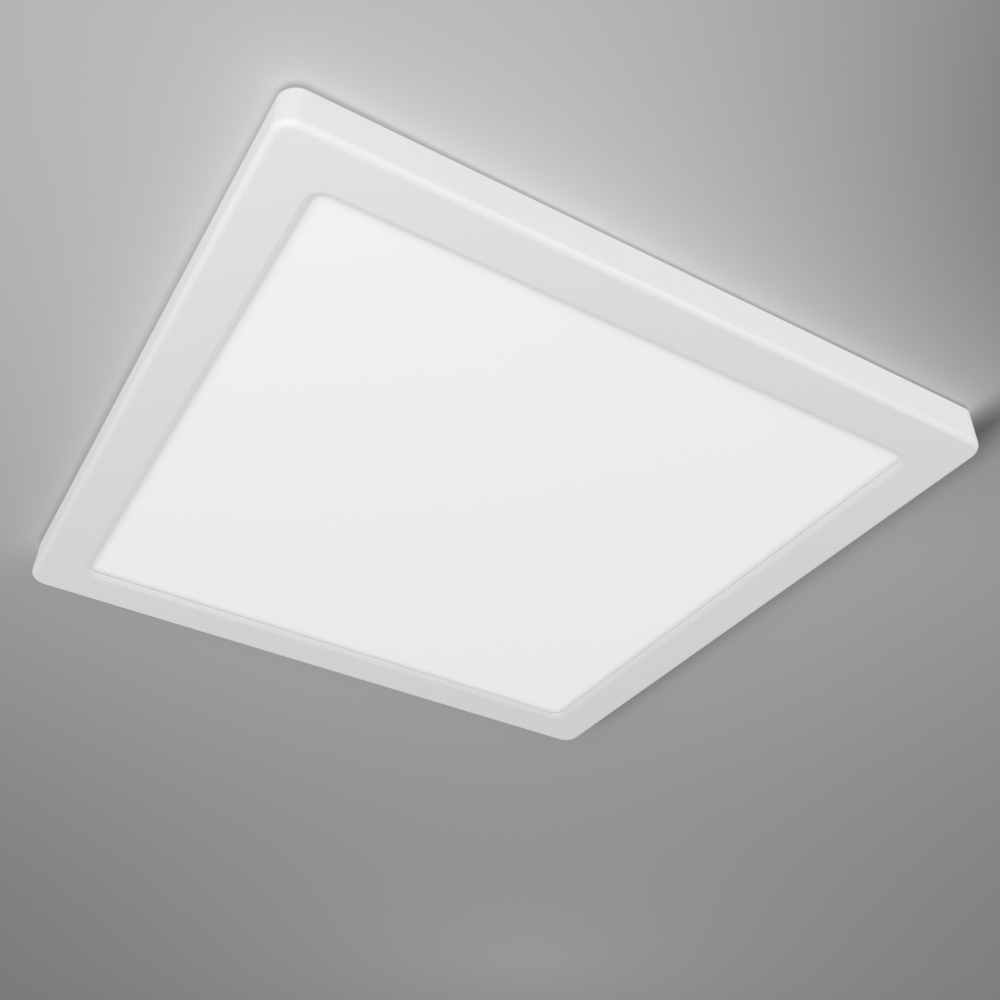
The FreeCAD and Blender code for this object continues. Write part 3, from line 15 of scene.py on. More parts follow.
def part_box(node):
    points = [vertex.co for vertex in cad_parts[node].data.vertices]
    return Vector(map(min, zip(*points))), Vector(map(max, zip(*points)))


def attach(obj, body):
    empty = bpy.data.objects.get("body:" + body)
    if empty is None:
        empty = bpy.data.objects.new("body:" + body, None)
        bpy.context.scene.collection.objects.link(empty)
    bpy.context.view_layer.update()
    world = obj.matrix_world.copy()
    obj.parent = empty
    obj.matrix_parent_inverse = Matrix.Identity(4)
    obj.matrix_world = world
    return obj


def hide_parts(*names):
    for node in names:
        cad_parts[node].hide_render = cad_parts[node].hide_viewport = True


bl_info = {
    "name": "Square ceiling light",
    "version": (1, 1, 0),
    "blender": (4, 5, 0),
    "location": "View3D > Sidebar > Ceiling light",
    "description": "Finishes a slim square ceiling light and lights it against its ceiling",
    "category": "Object",
}

MM = 0.001
# Points nearer than this are one point.
MERGE = 0.001 * MM
# Edges that turn by more than this stay crisp.
CRISP = math.radians(32)
# Sockets of a colour Mix node: its factor, its two colours and its result.
FACTOR, FIRST, SECOND, RESULT = 0, 6, 7, 2
# Sockets of a Map Range node: the range that comes in and the range that goes out.
IN_LOW, IN_HIGH, OUT_LOW, OUT_HIGH = 1, 2, 3, 4
# Most of a noise texture's values lie between these two.
NOISE_LOW, NOISE_HIGH = 0.3, 0.7

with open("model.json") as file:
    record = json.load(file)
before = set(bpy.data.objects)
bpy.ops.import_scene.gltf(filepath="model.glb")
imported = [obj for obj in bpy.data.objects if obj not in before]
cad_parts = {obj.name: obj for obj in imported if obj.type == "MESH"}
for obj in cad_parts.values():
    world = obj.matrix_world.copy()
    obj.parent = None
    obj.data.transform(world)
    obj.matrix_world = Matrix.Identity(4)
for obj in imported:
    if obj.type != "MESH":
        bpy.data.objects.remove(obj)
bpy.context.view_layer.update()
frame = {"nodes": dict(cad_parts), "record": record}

panel_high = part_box("diffuser")[1]
body_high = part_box("front_frame")[1]

SLOT_OF = {entry["node"]: entry["material_slot"] for entry in frame["record"]["subparts"]}
BODY_OF = {
    node: body for body, nodes in frame["record"]["behaviour"]["bodies"].items() for node in nodes
}

# The opal panel shows up to the lip's inner edge, whose corners are rounded.
OPAL_EDGE = panel_high.x - 7 * MM
OPAL_CORNER = 4 * MM
# The opal panel dims over this width inside that edge, and a little past it.
OPAL_FADE = 6 * MM
OPAL_PAST = 1 * MM
# The corner radius of the body seen from below.
BODY_CORNER = 11 * MM
# The size of the cloudy shade and of the sheen's patches on mouldings, and of those on sheet metal.
MOULD_CLOUDS = 60 * MM
MOULD_PATCHES = 14 * MM
METAL_PATCHES = 22 * MM
# How far the roughness swings to either side on mouldings and on sheet metal.
MOULD_SWING = 0.04
METAL_SWING = 0.07
# The halo painted on the ceiling for the light that the ring would throw there: its reach and its
# strength beside two of its sides.
PAINTED_HALO_REACH = 12 * MM
PAINTED_HALO_LEFT = 0.187
PAINTED_HALO_FRONT = 0.232
# The painted halo fades out past the near corners, where x + y goes from the first to the second.
PAINTED_HALO_FULL = -20 * MM
PAINTED_HALO_GONE = 60 * MM
# Values for the left side turn into those for the front over this much of x - y to either side.
SIDE_BLEND = 200 * MM
# The shade painted in the gap between body and ceiling: how dark, where it starts and where it
# ends.
PAINTED_CONTACT_SHADE = 0.62
PAINTED_CONTACT_START = -2.4 * MM
PAINTED_CONTACT_LEFT = 4.5 * MM
PAINTED_CONTACT_FRONT = 0.3 * MM
# The soft shadow of the body painted on the ceiling beside the far right side: how dark, how wide,
# and where along x, counted from the body's side, it starts and is full.
PAINTED_FAR_SHADE = 0.15
PAINTED_FAR_REACH = 45 * MM
PAINTED_FAR_START = -5 * MM
PAINTED_FAR_FULL = 15 * MM
# Soft pools of light and shade painted on the ceiling: amount, centre and radius.
PAINTED_POOLS = (
    (0.389, (-0.069, -0.097), 1.11),
    (0.217, (0.490, 0.735), 1.26),
    (-0.669, (0.213, -0.490), 0.431),
)
# The ceiling: how far above the plate it is, half its width, and its paint's stipple.
CEILING_GAP = 0.3 * MM
CEILING_HALF = 4.0
STIPPLE = 2.2 * MM
# The lamps: a key from the camera's side, low ones in front and on the left, one above the ceiling.
KEY_PLACE = (-0.612, -0.612, -0.500)
FRONT_PLACE = (0.20, -0.70, -0.06)
LEFT_PLACE = (-0.70, -0.20, -0.12)
BACK_PLACE = (0.70, 0.80, 1.10)
KEY_WIDTH = 0.35
LOW_WIDTH = 0.25
BACK_WIDTH = 0.6
# The screws' coarse plastic thread, its root as a share of the shank, and their blunt tip.
THREAD_PITCH = 0.9 * MM
THREAD_ROOT = 0.8
BLUNT_TIP = 0.6
# Half a pan head from its seat and half a rivet's head from its crown: shares of radius and height.
PAN_HEAD = ((0.96, 0.0), (1.0, 0.2), (0.97, 0.55), (0.87, 0.8), (0.68, 0.94), (0.4, 1.0))
RIVET_HEAD = ((0.45, 0.04), (0.75, 0.22), (0.95, 0.6), (1.0, 1.0))
# How deep the rubber grommet's groove is.
GROOVE_DEPTH = 2.2 * MM

# Pieces that stand for nodes: the new piece's name and the node.
SMOOTHED = {
    "moulded_frame": "front_frame",
    "moulded_ring": "backlight_ring",
    "pressed_tray": "rear_tray",
    "pressed_plate": "mounting_plate",
}
SCREWS = {
    "pan_head_tray_screws": "tray_screws",
    "pan_head_ring_screws": "ring_screws",
    "pan_head_driver_screws": "driver_screws",
    "pan_head_terminal_screws": "terminal_screws",
    "pan_head_clamp_screws": "clamp_screws",
    "pan_head_earth_screw": "earth_screw",
}


# ---------------------------------------------------------------- colours and nodes


def linear(code):
    """Turn an sRGB hex colour into the linear colour that shaders use."""
    channels = [int(code[i : i + 2], 16) / 255 for i in (1, 3, 5)]
    scaled = [c / 12.92 if c <= 0.04045 else ((c + 0.055) / 1.055) ** 2.4 for c in channels]
    return (*scaled, 1.0)


def add(tree, kind, links=None, **settings):
    """Add one node with its settings; each input is set, or linked to a socket or to a node."""
    node = tree.nodes.new(kind)
    for key, value in settings.items():
        setattr(node, key, value)
    for key, value in (links or {}).items():
        if isinstance(value, bpy.types.Node):
            value = value.outputs[0]
        if isinstance(value, bpy.types.NodeSocket):
            tree.links.new(value, node.inputs[key])
        else:
            node.inputs[key].default_value = value
    return node


def start_material(name):
    """Start an empty material and give its tree, its shader and its object coordinates."""
    material = bpy.data.materials.new(name)
    material.use_nodes = True
    tree = material.node_tree
    tree.nodes.clear()
    shader = add(tree, "ShaderNodeBsdfPrincipled")
    output = add(tree, "ShaderNodeOutputMaterial", {"Surface": shader})
    output.is_active_output = True
    place = add(tree, "ShaderNodeTexCoord").outputs["Object"]
    return material, tree, shader, place


def moulded(name, light, dark, roughness, grain_mm, depth_mm, ior=1.53):
    """Injection moulded plastic: faint cloudy shade, sheen that varies, and fine spark texture."""
    material, tree, shader, place = start_material(name)
    clouds = add(
        tree, "ShaderNodeTexNoise", {"Vector": place, "Scale": 1 / MOULD_CLOUDS, "Detail": 3}
    )
    patches = add(
        tree, "ShaderNodeTexNoise", {"Vector": place, "Scale": 1 / MOULD_PATCHES, "Detail": 4}
    )
    grain = add(
        tree, "ShaderNodeTexNoise", {"Vector": place, "Scale": 1 / (grain_mm * MM), "Detail": 2}
    )
    shade = add(
        tree,
        "ShaderNodeMix",
        {FACTOR: clouds, FIRST: linear(dark), SECOND: linear(light)},
        data_type="RGBA",
    )
    sheen = add(
        tree,
        "ShaderNodeMapRange",
        {
            0: patches,
            IN_LOW: NOISE_LOW,
            IN_HIGH: NOISE_HIGH,
            OUT_LOW: roughness - MOULD_SWING,
            OUT_HIGH: roughness + MOULD_SWING,
        },
    )
    skin = add(tree, "ShaderNodeBump", {"Height": grain, "Distance": depth_mm * MM})
    tree.links.new(shade.outputs[RESULT], shader.inputs["Base Color"])
    tree.links.new(sheen.outputs[0], shader.inputs["Roughness"])
    tree.links.new(skin.outputs[0], shader.inputs["Normal"])
    shader.inputs["IOR"].default_value = ior
    return material, tree, shader, place


def sheet_metal(name, light, dark, roughness, line_mm, depth_mm, stretch=(1, 1, 1)):
    """Rolled or plated metal: fine lines the way it was worked, and a sheen that is patchy."""
    material, tree, shader, place = start_material(name)
    patches = add(
        tree,
        "ShaderNodeTexNoise",
        {"Vector": place, "Scale": 1 / METAL_PATCHES, "Detail": 5, "Roughness": 0.6},
    )
    rolled = add(tree, "ShaderNodeMapping", {"Vector": place, "Scale": stretch})
    lines = add(
        tree, "ShaderNodeTexNoise", {"Vector": rolled, "Scale": 1 / (line_mm * MM), "Detail": 4}
    )
    shade = add(
        tree,
        "ShaderNodeMix",
        {FACTOR: patches, FIRST: linear(dark), SECOND: linear(light)},
        data_type="RGBA",
    )
    sheen = add(
        tree,
        "ShaderNodeMapRange",
        {
            0: patches,
            IN_LOW: NOISE_LOW,
            IN_HIGH: NOISE_HIGH,
            OUT_LOW: roughness - METAL_SWING,
            OUT_HIGH: roughness + METAL_SWING,
        },
    )
    skin = add(tree, "ShaderNodeBump", {"Height": lines, "Distance": depth_mm * MM})
    tree.links.new(shade.outputs[RESULT], shader.inputs["Base Color"])
    tree.links.new(sheen.outputs[0], shader.inputs["Roughness"])
    tree.links.new(skin.outputs[0], shader.inputs["Normal"])
    shader.inputs["Metallic"].default_value = 1.0
    return material, tree, shader, place


# ---------------------------------------------------------------- finishes of the pieces


def housing_abs():
    """Moulded ABS, white: a soft satin skin with a very fine orange peel."""
    return moulded(
        "housing_abs", "#F1F1F1", "#EFEFEF", roughness=0.42, grain_mm=1.1, depth_mm=0.004
    )[0]


def opal_acrylic():
    """Satin opal acrylic lit from behind: even white that dims in a thin line along its border."""
    material, tree, shader, place = start_material("opal_acrylic")
    clouds = add(tree, "ShaderNodeTexNoise", {"Vector": place, "Scale": 1 / (90 * MM), "Detail": 3})
    haze = add(tree, "ShaderNodeTexNoise", {"Vector": place, "Scale": 1 / (0.5 * MM), "Detail": 2})
    size = add(tree, "ShaderNodeVectorMath", {0: place}, operation="ABSOLUTE")
    axes = add(tree, "ShaderNodeSeparateXYZ", {0: size})
    reach = add(
        tree,
        "ShaderNodeMath",
        {0: axes.outputs["X"], 1: axes.outputs["Y"], 2: OPAL_CORNER},
        operation="SMOOTH_MAX",
    )
    lit = add(
        tree,
        "ShaderNodeMapRange",
        {
            0: reach,
            IN_LOW: OPAL_EDGE - OPAL_FADE,
            IN_HIGH: OPAL_EDGE + OPAL_PAST,
            OUT_LOW: 1.0,
            OUT_HIGH: 0.0,
        },
        interpolation_type="SMOOTHSTEP",
    )
    glow = add(
        tree,
        "ShaderNodeMix",
        {FACTOR: lit, FIRST: linear("#D5D5D5"), SECOND: linear("#FFFFFF")},
        data_type="RGBA",
    )
    shade = add(
        tree,
        "ShaderNodeMix",
        {FACTOR: clouds, FIRST: linear("#C4C4C4"), SECOND: linear("#C6C6C6")},
        data_type="RGBA",
    )
    sheen = add(
        tree,
        "ShaderNodeMapRange",
        {0: clouds, IN_LOW: NOISE_LOW, IN_HIGH: NOISE_HIGH, OUT_LOW: 0.5, OUT_HIGH: 0.58},
    )
    skin = add(tree, "ShaderNodeBump", {"Height": haze, "Distance": 0.002 * MM})
    tree.links.new(glow.outputs[RESULT], shader.inputs["Emission Color"])
    tree.links.new(shade.outputs[RESULT], shader.inputs["Base Color"])
    tree.links.new(sheen.outputs[0], shader.inputs["Roughness"])
    tree.links.new(skin.outputs[0], shader.inputs["Normal"])
    shader.inputs["IOR"].default_value = 1.49
    shader.inputs["Emission Strength"].default_value = bpy.context.scene.ceiling_light.panel_glow
    return material


def glow_polycarbonate():
    """Milky polycarbonate ring: glossy, slightly blue-white, and glowing where light leaves it."""
    material, tree, shader, place = moulded(
        "glow_polycarbonate",
        "#EEF0F0",
        "#DFE3E4",
        roughness=0.26,
        grain_mm=0.9,
        depth_mm=0.004,
        ior=1.58,
    )
    clouds = add(tree, "ShaderNodeTexNoise", {"Vector": place, "Scale": 1 / (18 * MM), "Detail": 3})
    glow = add(
        tree,
        "ShaderNodeMix",
        {FACTOR: clouds, FIRST: linear("#E6E9EA"), SECOND: linear("#FFFFFF")},
        data_type="RGBA",
    )
    tree.links.new(glow.outputs[RESULT], shader.inputs["Emission Color"])
    shader.inputs["Emission Strength"].default_value = bpy.context.scene.ceiling_light.ring_glow
    return material


def clear_acrylic():
    """Polished acrylic light guide: pale and glossy, with the faint dots of its light pattern."""
    material, tree, shader, place = start_material("clear_acrylic")
    dots = add(
        tree, "ShaderNodeTexVoronoi", {"Vector": place, "Scale": 1 / (1.6 * MM), "Randomness": 0.0}
    )
    dot = add(
        tree,
        "ShaderNodeMapRange",
        {0: dots, IN_LOW: 0.25, IN_HIGH: 0.35, OUT_LOW: 1.0, OUT_HIGH: 0.0},
    )
    shade = add(
        tree,
        "ShaderNodeMix",
        {FACTOR: dot, FIRST: linear("#DCE4E4"), SECOND: linear("#FAFAFA")},
        data_type="RGBA",
    )
    sheen = add(tree, "ShaderNodeMapRange", {0: dot, OUT_LOW: 0.08, OUT_HIGH: 0.5})
    skin = add(tree, "ShaderNodeBump", {"Height": dot, "Distance": 0.02 * MM})
    tree.links.new(shade.outputs[RESULT], shader.inputs["Base Color"])
    tree.links.new(sheen.outputs[0], shader.inputs["Roughness"])
    tree.links.new(skin.outputs[0], shader.inputs["Normal"])
    shader.inputs["IOR"].default_value = 1.49
    return material


def white_film():
    """Voided polyester film: bright matt white with slight waves."""
    return moulded(
        "white_film", "#F4F4F4", "#EEEEEE", roughness=0.6, grain_mm=3.0, depth_mm=0.01
    )[0]


def cell_foam():
    """Closed cell foam: pale grey, matt, with round cells about a millimetre wide."""
    material, tree, shader, place = start_material("cell_foam")
    cells = add(tree, "ShaderNodeTexVoronoi", {"Vector": place, "Scale": 1 / (1.2 * MM)})
    shade = add(
        tree,
        "ShaderNodeMix",
        {FACTOR: cells, FIRST: linear("#D4D4D4"), SECOND: linear("#C2C2C2")},
        data_type="RGBA",
    )
    dull = add(tree, "ShaderNodeMapRange", {0: cells, OUT_LOW: 0.85, OUT_HIGH: 0.95})
    skin = add(tree, "ShaderNodeBump", {"Height": cells, "Distance": 0.2 * MM})
    tree.links.new(shade.outputs[RESULT], shader.inputs["Base Color"])
    tree.links.new(dull.outputs[0], shader.inputs["Roughness"])
    tree.links.new(skin.outputs[0], shader.inputs["Normal"])
    return material


def powder_coat():
    """White powder coat on sheet steel: bright, half matt, with a fine pebbled skin."""
    return moulded(
        "powder_coat", "#E9E9E8", "#E2E2E1", roughness=0.5, grain_mm=0.9, depth_mm=0.02
    )[0]


def zinc_plate():
    """Bright zinc on rolled steel: cool silver, faint blue and straw clouds, rolling lines."""
    material, tree, shader, place = sheet_metal(
        "zinc_plate",
        "#C3C6C9",
        "#A9ADB1",
        roughness=0.36,
        line_mm=1.2,
        depth_mm=0.004,
        stretch=(0.06, 1, 1),
    )
    tint = add(tree, "ShaderNodeTexNoise", {"Vector": place, "Scale": 1 / (45 * MM), "Detail": 2})
    patches = add(
        tree,
        "ShaderNodeTexNoise",
        {"Vector": place, "Scale": 1 / METAL_PATCHES, "Detail": 5, "Roughness": 0.6},
    )
    cool = add(
        tree,
        "ShaderNodeMix",
        {FACTOR: patches, FIRST: linear("#A8AEB4"), SECOND: linear("#C4C8CB")},
        data_type="RGBA",
    )
    warm = add(
        tree,
        "ShaderNodeMix",
        {FACTOR: patches, FIRST: linear("#B3B1A6"), SECOND: linear("#C9C7BE")},
        data_type="RGBA",
    )
    part = add(
        tree,
        "ShaderNodeMapRange",
        {0: tint, IN_LOW: NOISE_LOW, IN_HIGH: NOISE_HIGH, OUT_LOW: 0.0, OUT_HIGH: 0.6},
    )
    shade = add(
        tree,
        "ShaderNodeMix",
        {FACTOR: part, FIRST: cool.outputs[RESULT], SECOND: warm.outputs[RESULT]},
        data_type="RGBA",
    )
    tree.links.new(shade.outputs[RESULT], shader.inputs["Base Color"])
    return material


def zinc_bracket():
    """Zinc-plated bracket steel: a shade duller than the plate, with short rolling lines."""
    return sheet_metal(
        "zinc_bracket",
        "#B9BCBF",
        "#9EA2A6",
        roughness=0.42,
        line_mm=0.9,
        depth_mm=0.004,
        stretch=(1, 1, 0.08),
    )[0]


def blued_spring():
    """Hardened spring steel: dark grey with a blue and straw temper colour."""
    material, tree, shader, place = sheet_metal(
        "blued_spring",
        "#8B8C90",
        "#6C6E74",
        roughness=0.33,
        line_mm=0.6,
        depth_mm=0.002,
        stretch=(0.1, 1, 1),
    )
    temper = add(tree, "ShaderNodeTexNoise", {"Vector": place, "Scale": 1 / (9 * MM), "Detail": 3})
    shade = add(
        tree,
        "ShaderNodeMix",
        {FACTOR: temper, FIRST: linear("#6E727B"), SECOND: linear("#948C7C")},
        data_type="RGBA",
    )
    tree.links.new(shade.outputs[RESULT], shader.inputs["Base Color"])
    return material


def plain_rivet():
    """Plain aluminium rivet: soft silver with fine turning marks."""
    return sheet_metal(
        "plain_rivet", "#D2D3D4", "#B9BBBD", roughness=0.34, line_mm=0.3, depth_mm=0.002
    )[0]


def zinc_screw():
    """Zinc-plated screw steel: bright and slightly speckled."""
    return sheet_metal(
        "zinc_screw", "#C9CBCD", "#A6A9AD", roughness=0.3, line_mm=0.35, depth_mm=0.003
    )[0]


def tinned_brass():
    """Tinned brass tag: pale yellow silver."""
    return sheet_metal(
        "tinned_brass", "#D5CDB5", "#B9AF93", roughness=0.36, line_mm=0.5, depth_mm=0.003
    )[0]


def copper_winding():
    """Enamelled copper wire: reddish, glossy, wound in broad turns."""
    material, tree, shader, place = sheet_metal(
        "copper_winding", "#C8805A", "#9E5A38", roughness=0.28, line_mm=0.5, depth_mm=0.002
    )
    # A wave texture's bands come back after about a third of its unit, so every 3 mm here.
    turns = add(
        tree, "ShaderNodeTexWave", {"Vector": place, "Scale": 1 / (10 * MM), "Distortion": 1.0}
    )
    skin = add(tree, "ShaderNodeBump", {"Height": turns.outputs["Fac"], "Distance": 0.1 * MM})
    tree.links.new(skin.outputs[0], shader.inputs["Normal"])
    return material


def sleeved_can():
    """Capacitor can in a dark sleeve: glossy blue-black."""
    return moulded(
        "sleeved_can", "#2B3242", "#202634", roughness=0.28, grain_mm=2.0, depth_mm=0.004
    )[0]


def ferrite_core():
    """Pressed ferrite: charcoal, matt and finely granular."""
    return moulded(
        "ferrite_core", "#3A3B3D", "#2C2D2F", roughness=0.62, grain_mm=0.4, depth_mm=0.02
    )[0]


def black_rubber():
    """Moulded rubber: near black, matt, with a light bloom."""
    return moulded(
        "black_rubber", "#303030", "#1F1F1F", roughness=0.68, grain_mm=0.6, depth_mm=0.015
    )[0]


def driver_abs():
    """Spark-textured ABS of the driver case: pale warm grey."""
    return moulded(
        "driver_abs", "#DBDAD5", "#D2D1CC", roughness=0.5, grain_mm=0.7, depth_mm=0.03
    )[0]


def terminal_nylon():
    """Moulded nylon of the terminal block: pale grey with a waxy sheen."""
    return moulded(
        "terminal_nylon", "#D4D3CD", "#C9C8C2", roughness=0.36, grain_mm=0.9, depth_mm=0.008
    )[0]


def button_nylon():
    """Nylon release buttons: orange with a waxy sheen."""
    return moulded(
        "button_nylon", "#E08A2E", "#D27C24", roughness=0.34, grain_mm=0.8, depth_mm=0.006
    )[0]


def clamp_nylon():
    """Nylon cable clamp: white with a waxy sheen."""
    return moulded(
        "clamp_nylon", "#E4E4E1", "#DADAD7", roughness=0.38, grain_mm=0.9, depth_mm=0.008
    )[0]


def plug_nylon():
    """Nylon plug housings: off-white."""
    return moulded(
        "plug_nylon", "#ECEBE4", "#E2E1DA", roughness=0.36, grain_mm=0.9, depth_mm=0.008
    )[0]


def white_mask_board():
    """Aluminium circuit strip under white solder mask: bright white with fine copper traces."""
    material, tree, shader, place = moulded(
        "white_mask_board", "#EEEEEC", "#E6E6E3", roughness=0.4, grain_mm=0.8, depth_mm=0.01
    )
    traces = add(
        tree, "ShaderNodeTexBrick", {"Vector": place, "Scale": 1 / (26 * MM), "Mortar Size": 0.012}
    )
    shade = add(
        tree,
        "ShaderNodeMix",
        {FACTOR: traces.outputs["Fac"], FIRST: linear("#EAEAE7"), SECOND: linear("#D6D8D2")},
        data_type="RGBA",
    )
    tree.links.new(shade.outputs[RESULT], shader.inputs["Base Color"])
    return material


def green_mask_board():
    """Glass epoxy board under green solder mask: glossy, with lighter copper areas."""
    material, tree, shader, place = moulded(
        "green_mask_board", "#2E6B3C", "#1E5630", roughness=0.3, grain_mm=0.8, depth_mm=0.01
    )
    traces = add(
        tree, "ShaderNodeTexBrick", {"Vector": place, "Scale": 1 / (12 * MM), "Mortar Size": 0.06}
    )
    shade = add(
        tree,
        "ShaderNodeMix",
        {FACTOR: traces.outputs["Fac"], FIRST: linear("#2A6738"), SECOND: linear("#3E8049")},
        data_type="RGBA",
    )
    tree.links.new(shade.outputs[RESULT], shader.inputs["Base Color"])
    return material


def phosphor():
    """Silicone with phosphor in the diodes: warm yellow, satin."""
    return moulded(
        "phosphor", "#F0DC7A", "#E6CD5E", roughness=0.4, grain_mm=0.5, depth_mm=0.01
    )[0]


def brown_pvc():
    """Extruded brown insulation of the live lead: satin, with faint marks."""
    return moulded(
        "brown_pvc", "#6B4630", "#5A3925", roughness=0.38, grain_mm=0.7, depth_mm=0.006
    )[0]


def blue_pvc():
    """Extruded blue insulation of the neutral lead: satin, with faint marks."""
    return moulded(
        "blue_pvc", "#2F62B0", "#27559C", roughness=0.38, grain_mm=0.7, depth_mm=0.006
    )[0]


def earth_pvc():
    """Extruded green insulation of the earth lead, with a yellow stripe."""
    material, tree, shader, place = moulded(
        "earth_pvc", "#4E9A3A", "#438A31", roughness=0.38, grain_mm=0.7, depth_mm=0.006
    )
    stripe = add(
        tree,
        "ShaderNodeTexWave",
        {"Vector": place, "Scale": 1 / (5 * MM)},
        bands_direction="DIAGONAL",
    )
    band = add(
        tree, "ShaderNodeMapRange", {0: stripe.outputs["Fac"], IN_LOW: 0.55, IN_HIGH: 0.62}
    )
    shade = add(
        tree,
        "ShaderNodeMix",
        {FACTOR: band, FIRST: linear("#47902F"), SECOND: linear("#E3C832")},
        data_type="RGBA",
    )
    tree.links.new(shade.outputs[RESULT], shader.inputs["Base Color"])
    return material


def red_pvc():
    """Extruded red insulation of the leads to the glow strips: satin, with faint marks."""
    return moulded(
        "red_pvc", "#B5332B", "#A22A23", roughness=0.38, grain_mm=0.7, depth_mm=0.006
    )[0]


def white_pvc():
    """Extruded white insulation of the leads to the panel's strips: satin, with faint marks."""
    return moulded(
        "white_pvc", "#E6E6E4", "#DBDBD9", roughness=0.38, grain_mm=0.7, depth_mm=0.006
    )[0]


FINISHES = {
    "housing_white": housing_abs,
    "opal_sheet": opal_acrylic,
    "guide_acrylic": clear_acrylic,
    "reflector_sheet": white_film,
    "foam_sheet": cell_foam,
    "tray_enamel": powder_coat,
    "glow_ring": glow_polycarbonate,
    "strip_board": white_mask_board,
    "led_phosphor": phosphor,
    "plate_zinc": zinc_plate,
    "spring_steel": blued_spring,
    "bracket_zinc": zinc_bracket,
    "rivet_aluminium": plain_rivet,
    "screw_zinc": zinc_screw,
    "grommet_rubber": black_rubber,
    "driver_case": driver_abs,
    "board_green": green_mask_board,
    "ferrite": ferrite_core,
    "can_aluminium": sleeved_can,
    "choke_copper": copper_winding,
    "terminal_plastic": terminal_nylon,
    "button_plastic": button_nylon,
    "clamp_plastic": clamp_nylon,
    "tag_brass": tinned_brass,
    "lead_brown": brown_pvc,
    "lead_blue": blue_pvc,
    "lead_earth": earth_pvc,
    "lead_red": red_pvc,
    "lead_white": white_pvc,
    "plug_plastic": plug_nylon,
}


def finish_of(node):
    """Give the finish of a node's material slot, made the first time that it is asked for."""
    make = FINISHES[SLOT_OF[node]]
    return bpy.data.materials.get(make.__name__) or make()


# ---------------------------------------------------------------- shapes


def solids_of(node):
    """Give the points of each separate solid of a node, in the order of its mesh."""
    shape = bmesh.new()
    shape.from_mesh(frame["nodes"][node].data)
    bmesh.ops.remove_doubles(shape, verts=shape.verts, dist=MERGE)
    seen, solids = set(), []
    for start in shape.verts:
        if start in seen:
            continue
        seen.add(start)
        group = [start]
        for vert in group:
            for edge in vert.link_edges:
                other = edge.other_vert(vert)
                if other not in seen:
                    seen.add(other)
                    group.append(other)
        solids.append([vert.co.copy() for vert in group])
    shape.free()
    return solids


def measure(solid):
    """Give a solid's centre line, its half width and its levels from the lowest up."""
    xs, ys = [point.x for point in solid], [point.y for point in solid]
    centre = Vector(((min(xs) + max(xs)) / 2, (min(ys) + max(ys)) / 2, 0))
    levels = sorted({round(point.z, 5) for point in solid})
    return centre, (max(xs) - min(xs)) / 2, levels


def turn(shape, outline, centre, steps):
    """Turn an outline of (radius, level) points once round an upright line."""
    verts = [shape.verts.new(centre + Vector((radius, 0, level))) for radius, level in outline]
    edges = [shape.edges.new(pair) for pair in zip(verts, verts[1:])]
    bmesh.ops.spin(
        shape,
        geom=verts + edges,
        cent=centre,
        axis=(0, 0, 1),
        angle=math.tau,
        steps=steps,
        use_merge=True,
    )


def add_piece(name, shape, node):
    """Make a shape the piece that stands for a node, with that node's body, slot and finish."""
    bmesh.ops.remove_doubles(shape, verts=shape.verts, dist=MERGE)
    bmesh.ops.recalc_face_normals(shape, faces=shape.faces)
    mesh = bpy.data.meshes.new(name)
    shape.to_mesh(mesh)
    shape.free()
    piece = bpy.data.objects.new(name, mesh)
    bpy.context.scene.collection.objects.link(piece)
    smooth(mesh)
    mesh.materials.append(finish_of(node))
    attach(piece, BODY_OF[node])
    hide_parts(node)
    return piece


def smooth(mesh):
    """Shade a mesh round over its gentle edges and crisp at its sharp ones."""
    mesh.shade_smooth()
    mesh.set_sharp_from_angle(angle=CRISP)


# ---------------------------------------------------------------- stage


